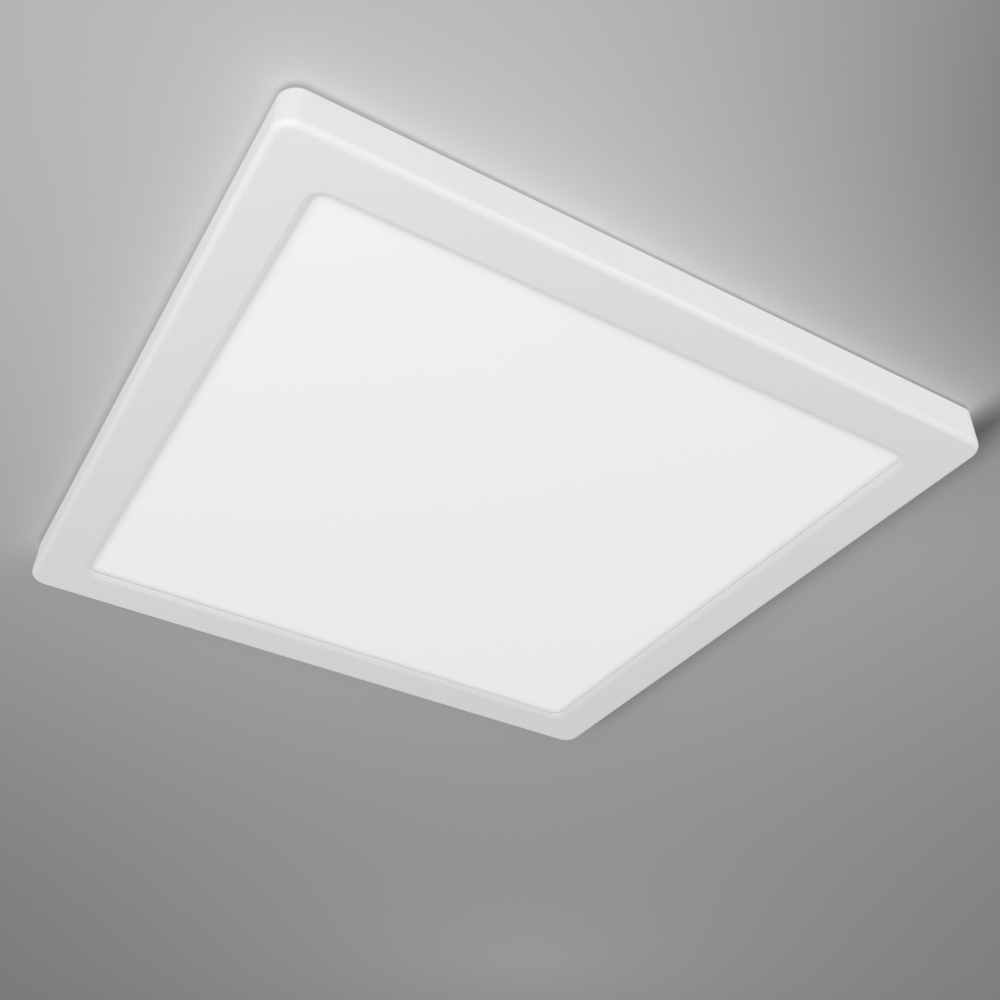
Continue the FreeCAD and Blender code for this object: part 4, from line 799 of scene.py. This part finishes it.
def ceiling_paint(settings):
    """Matt ceiling paint, seen from below only, with painted pools of light and shade, a painted
    halo round the lamp, and painted shade in the gap and beside the far right side.
    """
    material, tree, shader, place = start_material("ceiling_paint")
    colour = add(tree, "ShaderNodeRGB")
    colour.outputs[0].default_value = (*settings.ceiling_colour, 1.0)
    # Painted pools of light and shade: how much each adds, where it lies and how far it reaches.
    for amount, centre, radius in PAINTED_POOLS:
        spot = add(
            tree,
            "ShaderNodeMapping",
            {"Vector": place, "Location": (*centre, 0), "Scale": (radius, radius, radius)},
            vector_type="TEXTURE",
        )
        painted_pool = add(tree, "ShaderNodeTexGradient", {0: spot}, gradient_type="QUADRATIC_SPHERE")
        colour = add(
            tree,
            "ShaderNodeVectorMath",
            {0: painted_pool.outputs["Fac"], 1: (amount, amount, amount), 2: colour},
            operation="MULTIPLY_ADD",
        )
    # How far a point of the ceiling lies outside the lamp's rounded square.
    flat = add(tree, "ShaderNodeVectorMath", {0: place, 1: (1, 1, 0)}, operation="MULTIPLY")
    size = add(tree, "ShaderNodeVectorMath", {0: flat}, operation="ABSOLUTE")
    straight = body_high.x - BODY_CORNER
    past = add(
        tree, "ShaderNodeVectorMath", {0: size, 1: (straight, straight, 0)}, operation="SUBTRACT"
    )
    outside = add(tree, "ShaderNodeVectorMath", {0: past, 1: (0, 0, 0)}, operation="MAXIMUM")
    length = add(tree, "ShaderNodeVectorMath", {0: outside}, operation="LENGTH")
    distance = add(
        tree, "ShaderNodeMath", {0: length.outputs["Value"], 1: BODY_CORNER}, operation="SUBTRACT"
    )
    away = add(tree, "ShaderNodeMath", {0: distance, 1: 0.0}, operation="MAXIMUM")
    # The painted halo halves at its reach, and it shows beside the two near sides only.
    farther = add(tree, "ShaderNodeMath", {0: away, 1: PAINTED_HALO_REACH}, operation="ADD")
    halo = add(tree, "ShaderNodeMath", {0: PAINTED_HALO_REACH, 1: farther}, operation="DIVIDE")
    near_side = add(
        tree, "ShaderNodeVectorMath", {0: place, 1: (1, 1, 0)}, operation="DOT_PRODUCT"
    )
    shown = add(
        tree,
        "ShaderNodeMapRange",
        {
            0: near_side.outputs["Value"],
            IN_LOW: PAINTED_HALO_FULL,
            IN_HIGH: PAINTED_HALO_GONE,
            OUT_LOW: 1.0,
            OUT_HIGH: 0.0,
        },
        interpolation_type="SMOOTHSTEP",
    )
    front_side = add(
        tree, "ShaderNodeVectorMath", {0: place, 1: (1, -1, 0)}, operation="DOT_PRODUCT"
    )
    strength = add(
        tree,
        "ShaderNodeMapRange",
        {
            0: front_side.outputs["Value"],
            IN_LOW: -SIDE_BLEND,
            IN_HIGH: SIDE_BLEND,
            OUT_LOW: PAINTED_HALO_LEFT,
            OUT_HIGH: PAINTED_HALO_FRONT,
        },
        interpolation_type="SMOOTHSTEP",
    )
    share = add(tree, "ShaderNodeMath", {0: shown, 1: strength}, operation="MULTIPLY")
    light = add(tree, "ShaderNodeMath", {0: halo, 1: share}, operation="MULTIPLY")
    # The painted halo is added to the paint's colour.
    lit = add(tree, "ShaderNodeVectorMath", {0: colour, 1: light}, operation="ADD")
    # The thin shade painted where the body nearly meets the ceiling, wider on the left.
    shade_end = add(
        tree,
        "ShaderNodeMapRange",
        {
            0: front_side.outputs["Value"],
            IN_LOW: -SIDE_BLEND,
            IN_HIGH: SIDE_BLEND,
            OUT_LOW: PAINTED_CONTACT_LEFT,
            OUT_HIGH: PAINTED_CONTACT_FRONT,
        },
        interpolation_type="SMOOTHSTEP",
    )
    painted_contact = add(
        tree,
        "ShaderNodeMapRange",
        {
            0: distance,
            IN_LOW: PAINTED_CONTACT_START,
            IN_HIGH: shade_end,
            OUT_LOW: PAINTED_CONTACT_SHADE,
            OUT_HIGH: 1.0,
        },
        interpolation_type="SMOOTHSTEP",
    )
    with_painted_contact = add(tree, "ShaderNodeVectorMath", {0: lit, 1: painted_contact}, operation="MULTIPLY")
    # The soft shadow of the body painted beside the far right side.
    sides = add(tree, "ShaderNodeSeparateXYZ", {0: place})
    depth = add(
        tree,
        "ShaderNodeMapRange",
        {
            0: sides.outputs["X"],
            IN_LOW: body_high.x + PAINTED_FAR_START,
            IN_HIGH: body_high.x + PAINTED_FAR_FULL,
            OUT_LOW: 1.0,
            OUT_HIGH: PAINTED_FAR_SHADE,
        },
    )
    far = add(
        tree,
        "ShaderNodeMapRange",
        {0: distance, IN_LOW: 0.0, IN_HIGH: PAINTED_FAR_REACH, OUT_LOW: depth, OUT_HIGH: 1.0},
        interpolation_type="SMOOTHSTEP",
    )
    with_painted_shadow = add(tree, "ShaderNodeVectorMath", {0: with_painted_contact, 1: far}, operation="MULTIPLY")
    # Rolled paint: a stipple about two millimetres wide.
    stipple = add(tree, "ShaderNodeTexNoise", {"Vector": place, "Scale": 1 / STIPPLE, "Detail": 3})
    skin = add(tree, "ShaderNodeBump", {"Height": stipple, "Distance": 0.02 * MM})
    tree.links.new(with_painted_shadow.outputs[0], shader.inputs["Base Color"])
    tree.links.new(skin.outputs[0], shader.inputs["Normal"])
    shader.inputs["Roughness"].default_value = 0.95
    shader.inputs["Specular IOR Level"].default_value = 0.0
    see_through = add(tree, "ShaderNodeBsdfTransparent")
    from_above = add(tree, "ShaderNodeNewGeometry").outputs["Backfacing"]
    either = add(tree, "ShaderNodeMixShader", {0: from_above, 1: shader, 2: see_through})
    tree.links.new(either.outputs[0], tree.nodes["Material Output"].inputs["Surface"])
    return material


def add_lamp(name, place, width, power):
    """Hang one soft square lamp that points at the middle of the ceiling light."""
    data = bpy.data.lights.new(name, "AREA")
    data.shape = "SQUARE"
    data.size = width
    data.energy = power
    lamp = bpy.data.objects.new(name, data)
    lamp.location = place
    lamp.rotation_euler = (-Vector(place)).to_track_quat("-Z", "Y").to_euler()
    lamp.visible_camera = False
    bpy.context.scene.collection.objects.link(lamp)


# ---------------------------------------------------------------- settings, operators and panel


class CeilingLightSettings(bpy.types.PropertyGroup):
    """What a user would change: glow, ceiling colour, fasteners, camera and lamps."""

    panel_glow: FloatProperty(
        name="Panel glow",
        description="Light given off by the opal panel",
        default=0.4,
        min=0,
        max=2,
    )
    ring_glow: FloatProperty(
        name="Ring glow",
        description="Light given off by the ring behind the lamp",
        default=0.2,
        min=0,
    )
    turned_sides: IntProperty(
        name="Turned sides",
        description="Facets round a screw, rivet or grommet",
        default=32,
        min=8,
    )
    recess_length: FloatProperty(
        name="Recess length",
        description="Length of each arm pair of the screws' cross recess",
        default=3.2 * MM,
        unit="LENGTH",
    )
    recess_width: FloatProperty(
        name="Recess width",
        description="Width of the screws' cross recess",
        default=0.7 * MM,
        unit="LENGTH",
    )
    recess_depth: FloatProperty(
        name="Recess depth",
        description="Depth of the screws' cross recess",
        default=1.0 * MM,
        unit="LENGTH",
    )
    ceiling_colour: FloatVectorProperty(
        name="Ceiling colour",
        description="Paint of the ceiling far from the lamp",
        default=linear("#8A8A8A")[:3],
        subtype="COLOR",
        size=3,
    )
    camera_place: FloatVectorProperty(
        name="Camera place",
        description="Where the camera stands, below the ceiling",
        default=(-0.2910, -0.5516, -0.4906),
        subtype="TRANSLATION",
        size=3,
    )
    camera_aim: FloatVectorProperty(
        name="Camera aim",
        description="The point on the ceiling that the camera looks at",
        default=(0.0144, 0.0092, 0.0),
        subtype="TRANSLATION",
        size=3,
    )
    camera_roll: FloatProperty(
        name="Camera roll",
        description="Tilt of the frame",
        default=math.radians(2.15),
        subtype="ANGLE",
    )
    camera_lens: FloatProperty(
        name="Lens",
        description="Focal length in millimetres",
        default=46.66,
        subtype="DISTANCE_CAMERA",
    )
    camera_shift: FloatVectorProperty(
        name="Shift",
        description="Sideways and upward shift of the lens",
        default=(0.0188, -0.0006),
        size=2,
    )
    key_power: FloatProperty(
        name="Key power", description="Power of the key lamp", default=2.05, unit="POWER"
    )
    front_power: FloatProperty(
        name="Front power",
        description="Power of the low lamp at the front",
        default=0.46,
        unit="POWER",
    )
    left_power: FloatProperty(
        name="Left power",
        description="Power of the low lamp on the left",
        default=0.17,
        unit="POWER",
    )
    back_power: FloatProperty(
        name="Back power",
        description="Power of the lamp above the ceiling",
        default=4.0,
        unit="POWER",
    )
    world_light: FloatProperty(
        name="World light",
        description="Strength of the even light all round",
        default=0.65,
        min=0,
    )


class CEILINGLIGHT_OT_finish_nodes(bpy.types.Operator):
    """Give every part of the lamp the finish of its real material"""

    bl_idname = "ceiling_light.finish_nodes"
    bl_label = "Finish the parts"

    def execute(self, context):
        for name in SLOT_OF:
            mesh = frame["nodes"][name].data
            mesh.materials.clear()
            mesh.materials.append(finish_of(name))
        return {"FINISHED"}


class CEILINGLIGHT_OT_smooth_mouldings(bpy.types.Operator):
    """Shade the rounded corners and edges of the mouldings and pressings smooth"""

    bl_idname = "ceiling_light.smooth_mouldings"
    bl_label = "Smooth the mouldings"

    def execute(self, context):
        for name, node in SMOOTHED.items():
            shape = bmesh.new()
            shape.from_mesh(frame["nodes"][node].data)
            bmesh.ops.remove_doubles(shape, verts=shape.verts, dist=MERGE)
            piece = add_piece(name, shape, node)
            weighted = piece.modifiers.new("flat_faces_stay_flat", "WEIGHTED_NORMAL")
            weighted.keep_sharp = True
        return {"FINISHED"}


class CEILINGLIGHT_OT_drive_screws(bpy.types.Operator):
    """Turn the pan head screws, with their threads and cross recesses"""

    bl_idname = "ceiling_light.drive_screws"
    bl_label = "Drive the screws"

    def execute(self, context):
        settings = context.scene.ceiling_light
        for name, node in SCREWS.items():
            screws, recesses = bmesh.new(), bmesh.new()
            for solid in solids_of(node):
                centre, radius, (foot, seat, top) = measure(solid)
                shank = max((point - centre).xy.length for point in solid if point.z < foot + MERGE)
                turn(
                    screws,
                    self.outline(radius, shank, foot, seat, top),
                    centre,
                    settings.turned_sides,
                )
                self.cut_cross(recesses, settings, centre, top)
            piece = add_piece(name, screws, node)
            self.carve(piece, recesses)
        return {"FINISHED"}

    def outline(self, radius, shank, foot, seat, top):
        """Outline of half a screw, from its blunt tip up the thread and over the head."""
        points = [(0, foot), (BLUNT_TIP * shank, foot)]
        turns = max(1, int((seat - foot) / THREAD_PITCH))
        step = (seat - foot) / turns
        for i in range(turns):
            level = foot + i * step
            root, crest = level + 0.15 * step, level + 0.6 * step
            points += [(THREAD_ROOT * shank, root), (0.98 * shank, crest)]
        height = top - seat
        points.append((THREAD_ROOT * shank, seat))
        points += [(width * radius, seat + rise * height) for width, rise in PAN_HEAD]
        points.append((0, top))
        return points

    def cut_cross(self, shape, settings, centre, top):
        """Add the two tapered blades of one cross recess."""
        length, width, depth = settings.recess_length, settings.recess_width, settings.recess_depth
        for angle in (0, math.pi / 2):
            blade = bmesh.ops.create_cube(shape, size=1.0)["verts"]
            bmesh.ops.scale(shape, verts=blade, vec=(length, width, 2 * depth))
            lower = [vert for vert in blade if vert.co.z < 0]
            bmesh.ops.scale(shape, verts=lower, vec=(0.45, 0.8, 1.0))
            bmesh.ops.rotate(
                shape, verts=blade, cent=(0, 0, 0), matrix=Matrix.Rotation(angle, 3, "Z")
            )
            bmesh.ops.translate(shape, verts=blade, vec=centre + Vector((0, 0, top)))

    def carve(self, piece, recesses):
        """Cut the recesses into the screw heads."""
        mesh = bpy.data.meshes.new("recesses")
        recesses.to_mesh(mesh)
        recesses.free()
        cutter = bpy.data.objects.new("recesses", mesh)
        bpy.context.scene.collection.objects.link(cutter)
        cut = piece.modifiers.new("recess", "BOOLEAN")
        cut.operation, cut.solver, cut.use_self, cut.object = "DIFFERENCE", "EXACT", True, cutter
        ready = piece.evaluated_get(bpy.context.evaluated_depsgraph_get())
        carved = bpy.data.meshes.new_from_object(ready)
        piece.modifiers.clear()
        piece.data = carved
        smooth(carved)
        bpy.data.objects.remove(cutter)


class CEILINGLIGHT_OT_set_rivets(bpy.types.Operator):
    """Form the round rivets of the leaf springs"""

    bl_idname = "ceiling_light.set_rivets"
    bl_label = "Set the rivets"

    def execute(self, context):
        rivets = bmesh.new()
        for solid in solids_of("clip_rivets"):
            centre, radius, (foot, seat, top) = measure(solid)
            shank = max((point - centre).xy.length for point in solid if point.z > top - MERGE)
            height = seat - foot
            outline = [(0, foot)]
            outline += [(width * radius, foot + rise * height) for width, rise in RIVET_HEAD]
            # The shank, its rolled end and the hollow that the setting tool leaves in it.
            outline += [
                (0.97 * shank, seat),
                (0.97 * shank, top - 0.1 * MM),
                (0.9 * shank, top),
                (0.5 * shank, top - 0.05 * MM),
                (0.3 * shank, top - 0.5 * MM),
                (0, top - 0.6 * MM),
            ]
            turn(rivets, outline, centre, context.scene.ceiling_light.turned_sides)
        add_piece("round_rivets", rivets, "clip_rivets")
        return {"FINISHED"}


class CEILINGLIGHT_OT_fit_grommet(bpy.types.Operator):
    """Mould the round rubber grommet in the cable hole"""

    bl_idname = "ceiling_light.fit_grommet"
    bl_label = "Fit the grommet"

    def execute(self, context):
        solid = solids_of("cable_grommet")[0]
        centre, flange, (foot, lower, upper, top) = measure(solid)
        bore = min((point - centre).xy.length for point in solid)
        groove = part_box("cable_grommet")[1].x - GROOVE_DEPTH
        lip = lower - foot
        # One rounded lip: radius, and how far in from the grommet's end as a share of the lip.
        rounded = [
            (bore, 0.35),
            (bore + 0.3 * lip, 0),
            (flange - 0.5 * lip, 0),
            (flange - 0.1 * lip, 0.25),
            (flange, 0.6),
        ]
        outline = [(radius, foot + inward * lip) for radius, inward in rounded]
        outline += [(flange - 0.1 * lip, lower), (groove, lower)]
        outline += [(groove, upper), (flange - 0.1 * lip, upper)]
        outline += [(radius, top - inward * lip) for radius, inward in reversed(rounded)]
        outline.append(outline[0])
        grommet = bmesh.new()
        turn(grommet, outline, centre, 2 * context.scene.ceiling_light.turned_sides)
        add_piece("round_grommet", grommet, "cable_grommet")
        return {"FINISHED"}


class CEILINGLIGHT_OT_set_stage(bpy.types.Operator):
    """Build the ceiling, the lamps and the camera"""

    bl_idname = "ceiling_light.set_stage"
    bl_label = "Set the stage"

    def execute(self, context):
        settings = context.scene.ceiling_light
        self.add_ceiling(context, settings)
        add_lamp("key_lamp", KEY_PLACE, KEY_WIDTH, settings.key_power)
        add_lamp("front_lamp", FRONT_PLACE, LOW_WIDTH, settings.front_power)
        add_lamp("left_lamp", LEFT_PLACE, LOW_WIDTH, settings.left_power)
        add_lamp("back_lamp", BACK_PLACE, BACK_WIDTH, settings.back_power)
        world = bpy.data.worlds.new("studio")
        world.use_nodes = True
        background = world.node_tree.nodes["Background"]
        background.inputs["Color"].default_value = (1, 1, 1, 1)
        background.inputs["Strength"].default_value = settings.world_light
        context.scene.world = world
        self.add_camera(context, settings)
        context.scene.view_settings.view_transform = "Standard"
        return {"FINISHED"}

    def add_ceiling(self, context, settings):
        """Hang a wide ceiling that faces down, just clear of the plate's top."""
        shape = bmesh.new()
        bmesh.ops.create_grid(shape, x_segments=1, y_segments=1, size=CEILING_HALF)
        bmesh.ops.translate(shape, verts=shape.verts, vec=(0, 0, CEILING_GAP))
        bmesh.ops.reverse_faces(shape, faces=shape.faces)
        mesh = bpy.data.meshes.new("ceiling")
        shape.to_mesh(mesh)
        shape.free()
        mesh.materials.append(ceiling_paint(settings))
        ceiling = bpy.data.objects.new("ceiling", mesh)
        context.scene.collection.objects.link(ceiling)
        ceiling.visible_shadow = False
        ceiling.visible_diffuse = False
        ceiling.visible_glossy = False
        ceiling.visible_transmission = False

    def add_camera(self, context, settings):
        """Stand the camera where the photo was taken."""
        data = bpy.data.cameras.new("camera")
        data.lens = settings.camera_lens
        data.shift_x, data.shift_y = settings.camera_shift
        camera = bpy.data.objects.new("camera", data)
        context.scene.collection.objects.link(camera)
        place, aim = Vector(settings.camera_place), Vector(settings.camera_aim)
        level = (aim - place).to_track_quat("-Z", "Y").to_matrix().to_4x4()
        camera.matrix_world = (
            Matrix.Translation(place) @ level @ Matrix.Rotation(settings.camera_roll, 4, "Z")
        )
        context.scene.camera = camera


class CEILINGLIGHT_PT_panel(bpy.types.Panel):
    """Sidebar panel with the lamp's settings and steps"""

    bl_idname = "CEILINGLIGHT_PT_panel"
    bl_label = "Ceiling light"
    bl_space_type = "VIEW_3D"
    bl_region_type = "UI"
    bl_category = "Ceiling light"

    def draw(self, context):
        settings = context.scene.ceiling_light
        for name in settings.bl_rna.properties.keys():
            if name not in ("rna_type", "name"):
                self.layout.prop(settings, name)
        for operator in OPERATORS:
            self.layout.operator(operator.bl_idname)


OPERATORS = (
    CEILINGLIGHT_OT_finish_nodes,
    CEILINGLIGHT_OT_smooth_mouldings,
    CEILINGLIGHT_OT_drive_screws,
    CEILINGLIGHT_OT_set_rivets,
    CEILINGLIGHT_OT_fit_grommet,
    CEILINGLIGHT_OT_set_stage,
)
CLASSES = (CeilingLightSettings, *OPERATORS, CEILINGLIGHT_PT_panel)


def register():
    for item in CLASSES:
        bpy.utils.register_class(item)
    bpy.types.Scene.ceiling_light = bpy.props.PointerProperty(type=CeilingLightSettings)


def unregister():
    del bpy.types.Scene.ceiling_light
    for item in reversed(CLASSES):
        bpy.utils.unregister_class(item)


def main():
    """Build the scene step by step."""
    register()
    bpy.ops.ceiling_light.finish_nodes()
    bpy.ops.ceiling_light.smooth_mouldings()
    bpy.ops.ceiling_light.drive_screws()
    bpy.ops.ceiling_light.set_rivets()
    bpy.ops.ceiling_light.fit_grommet()
    bpy.ops.ceiling_light.set_stage()


if __name__ == "__main__":
    main()
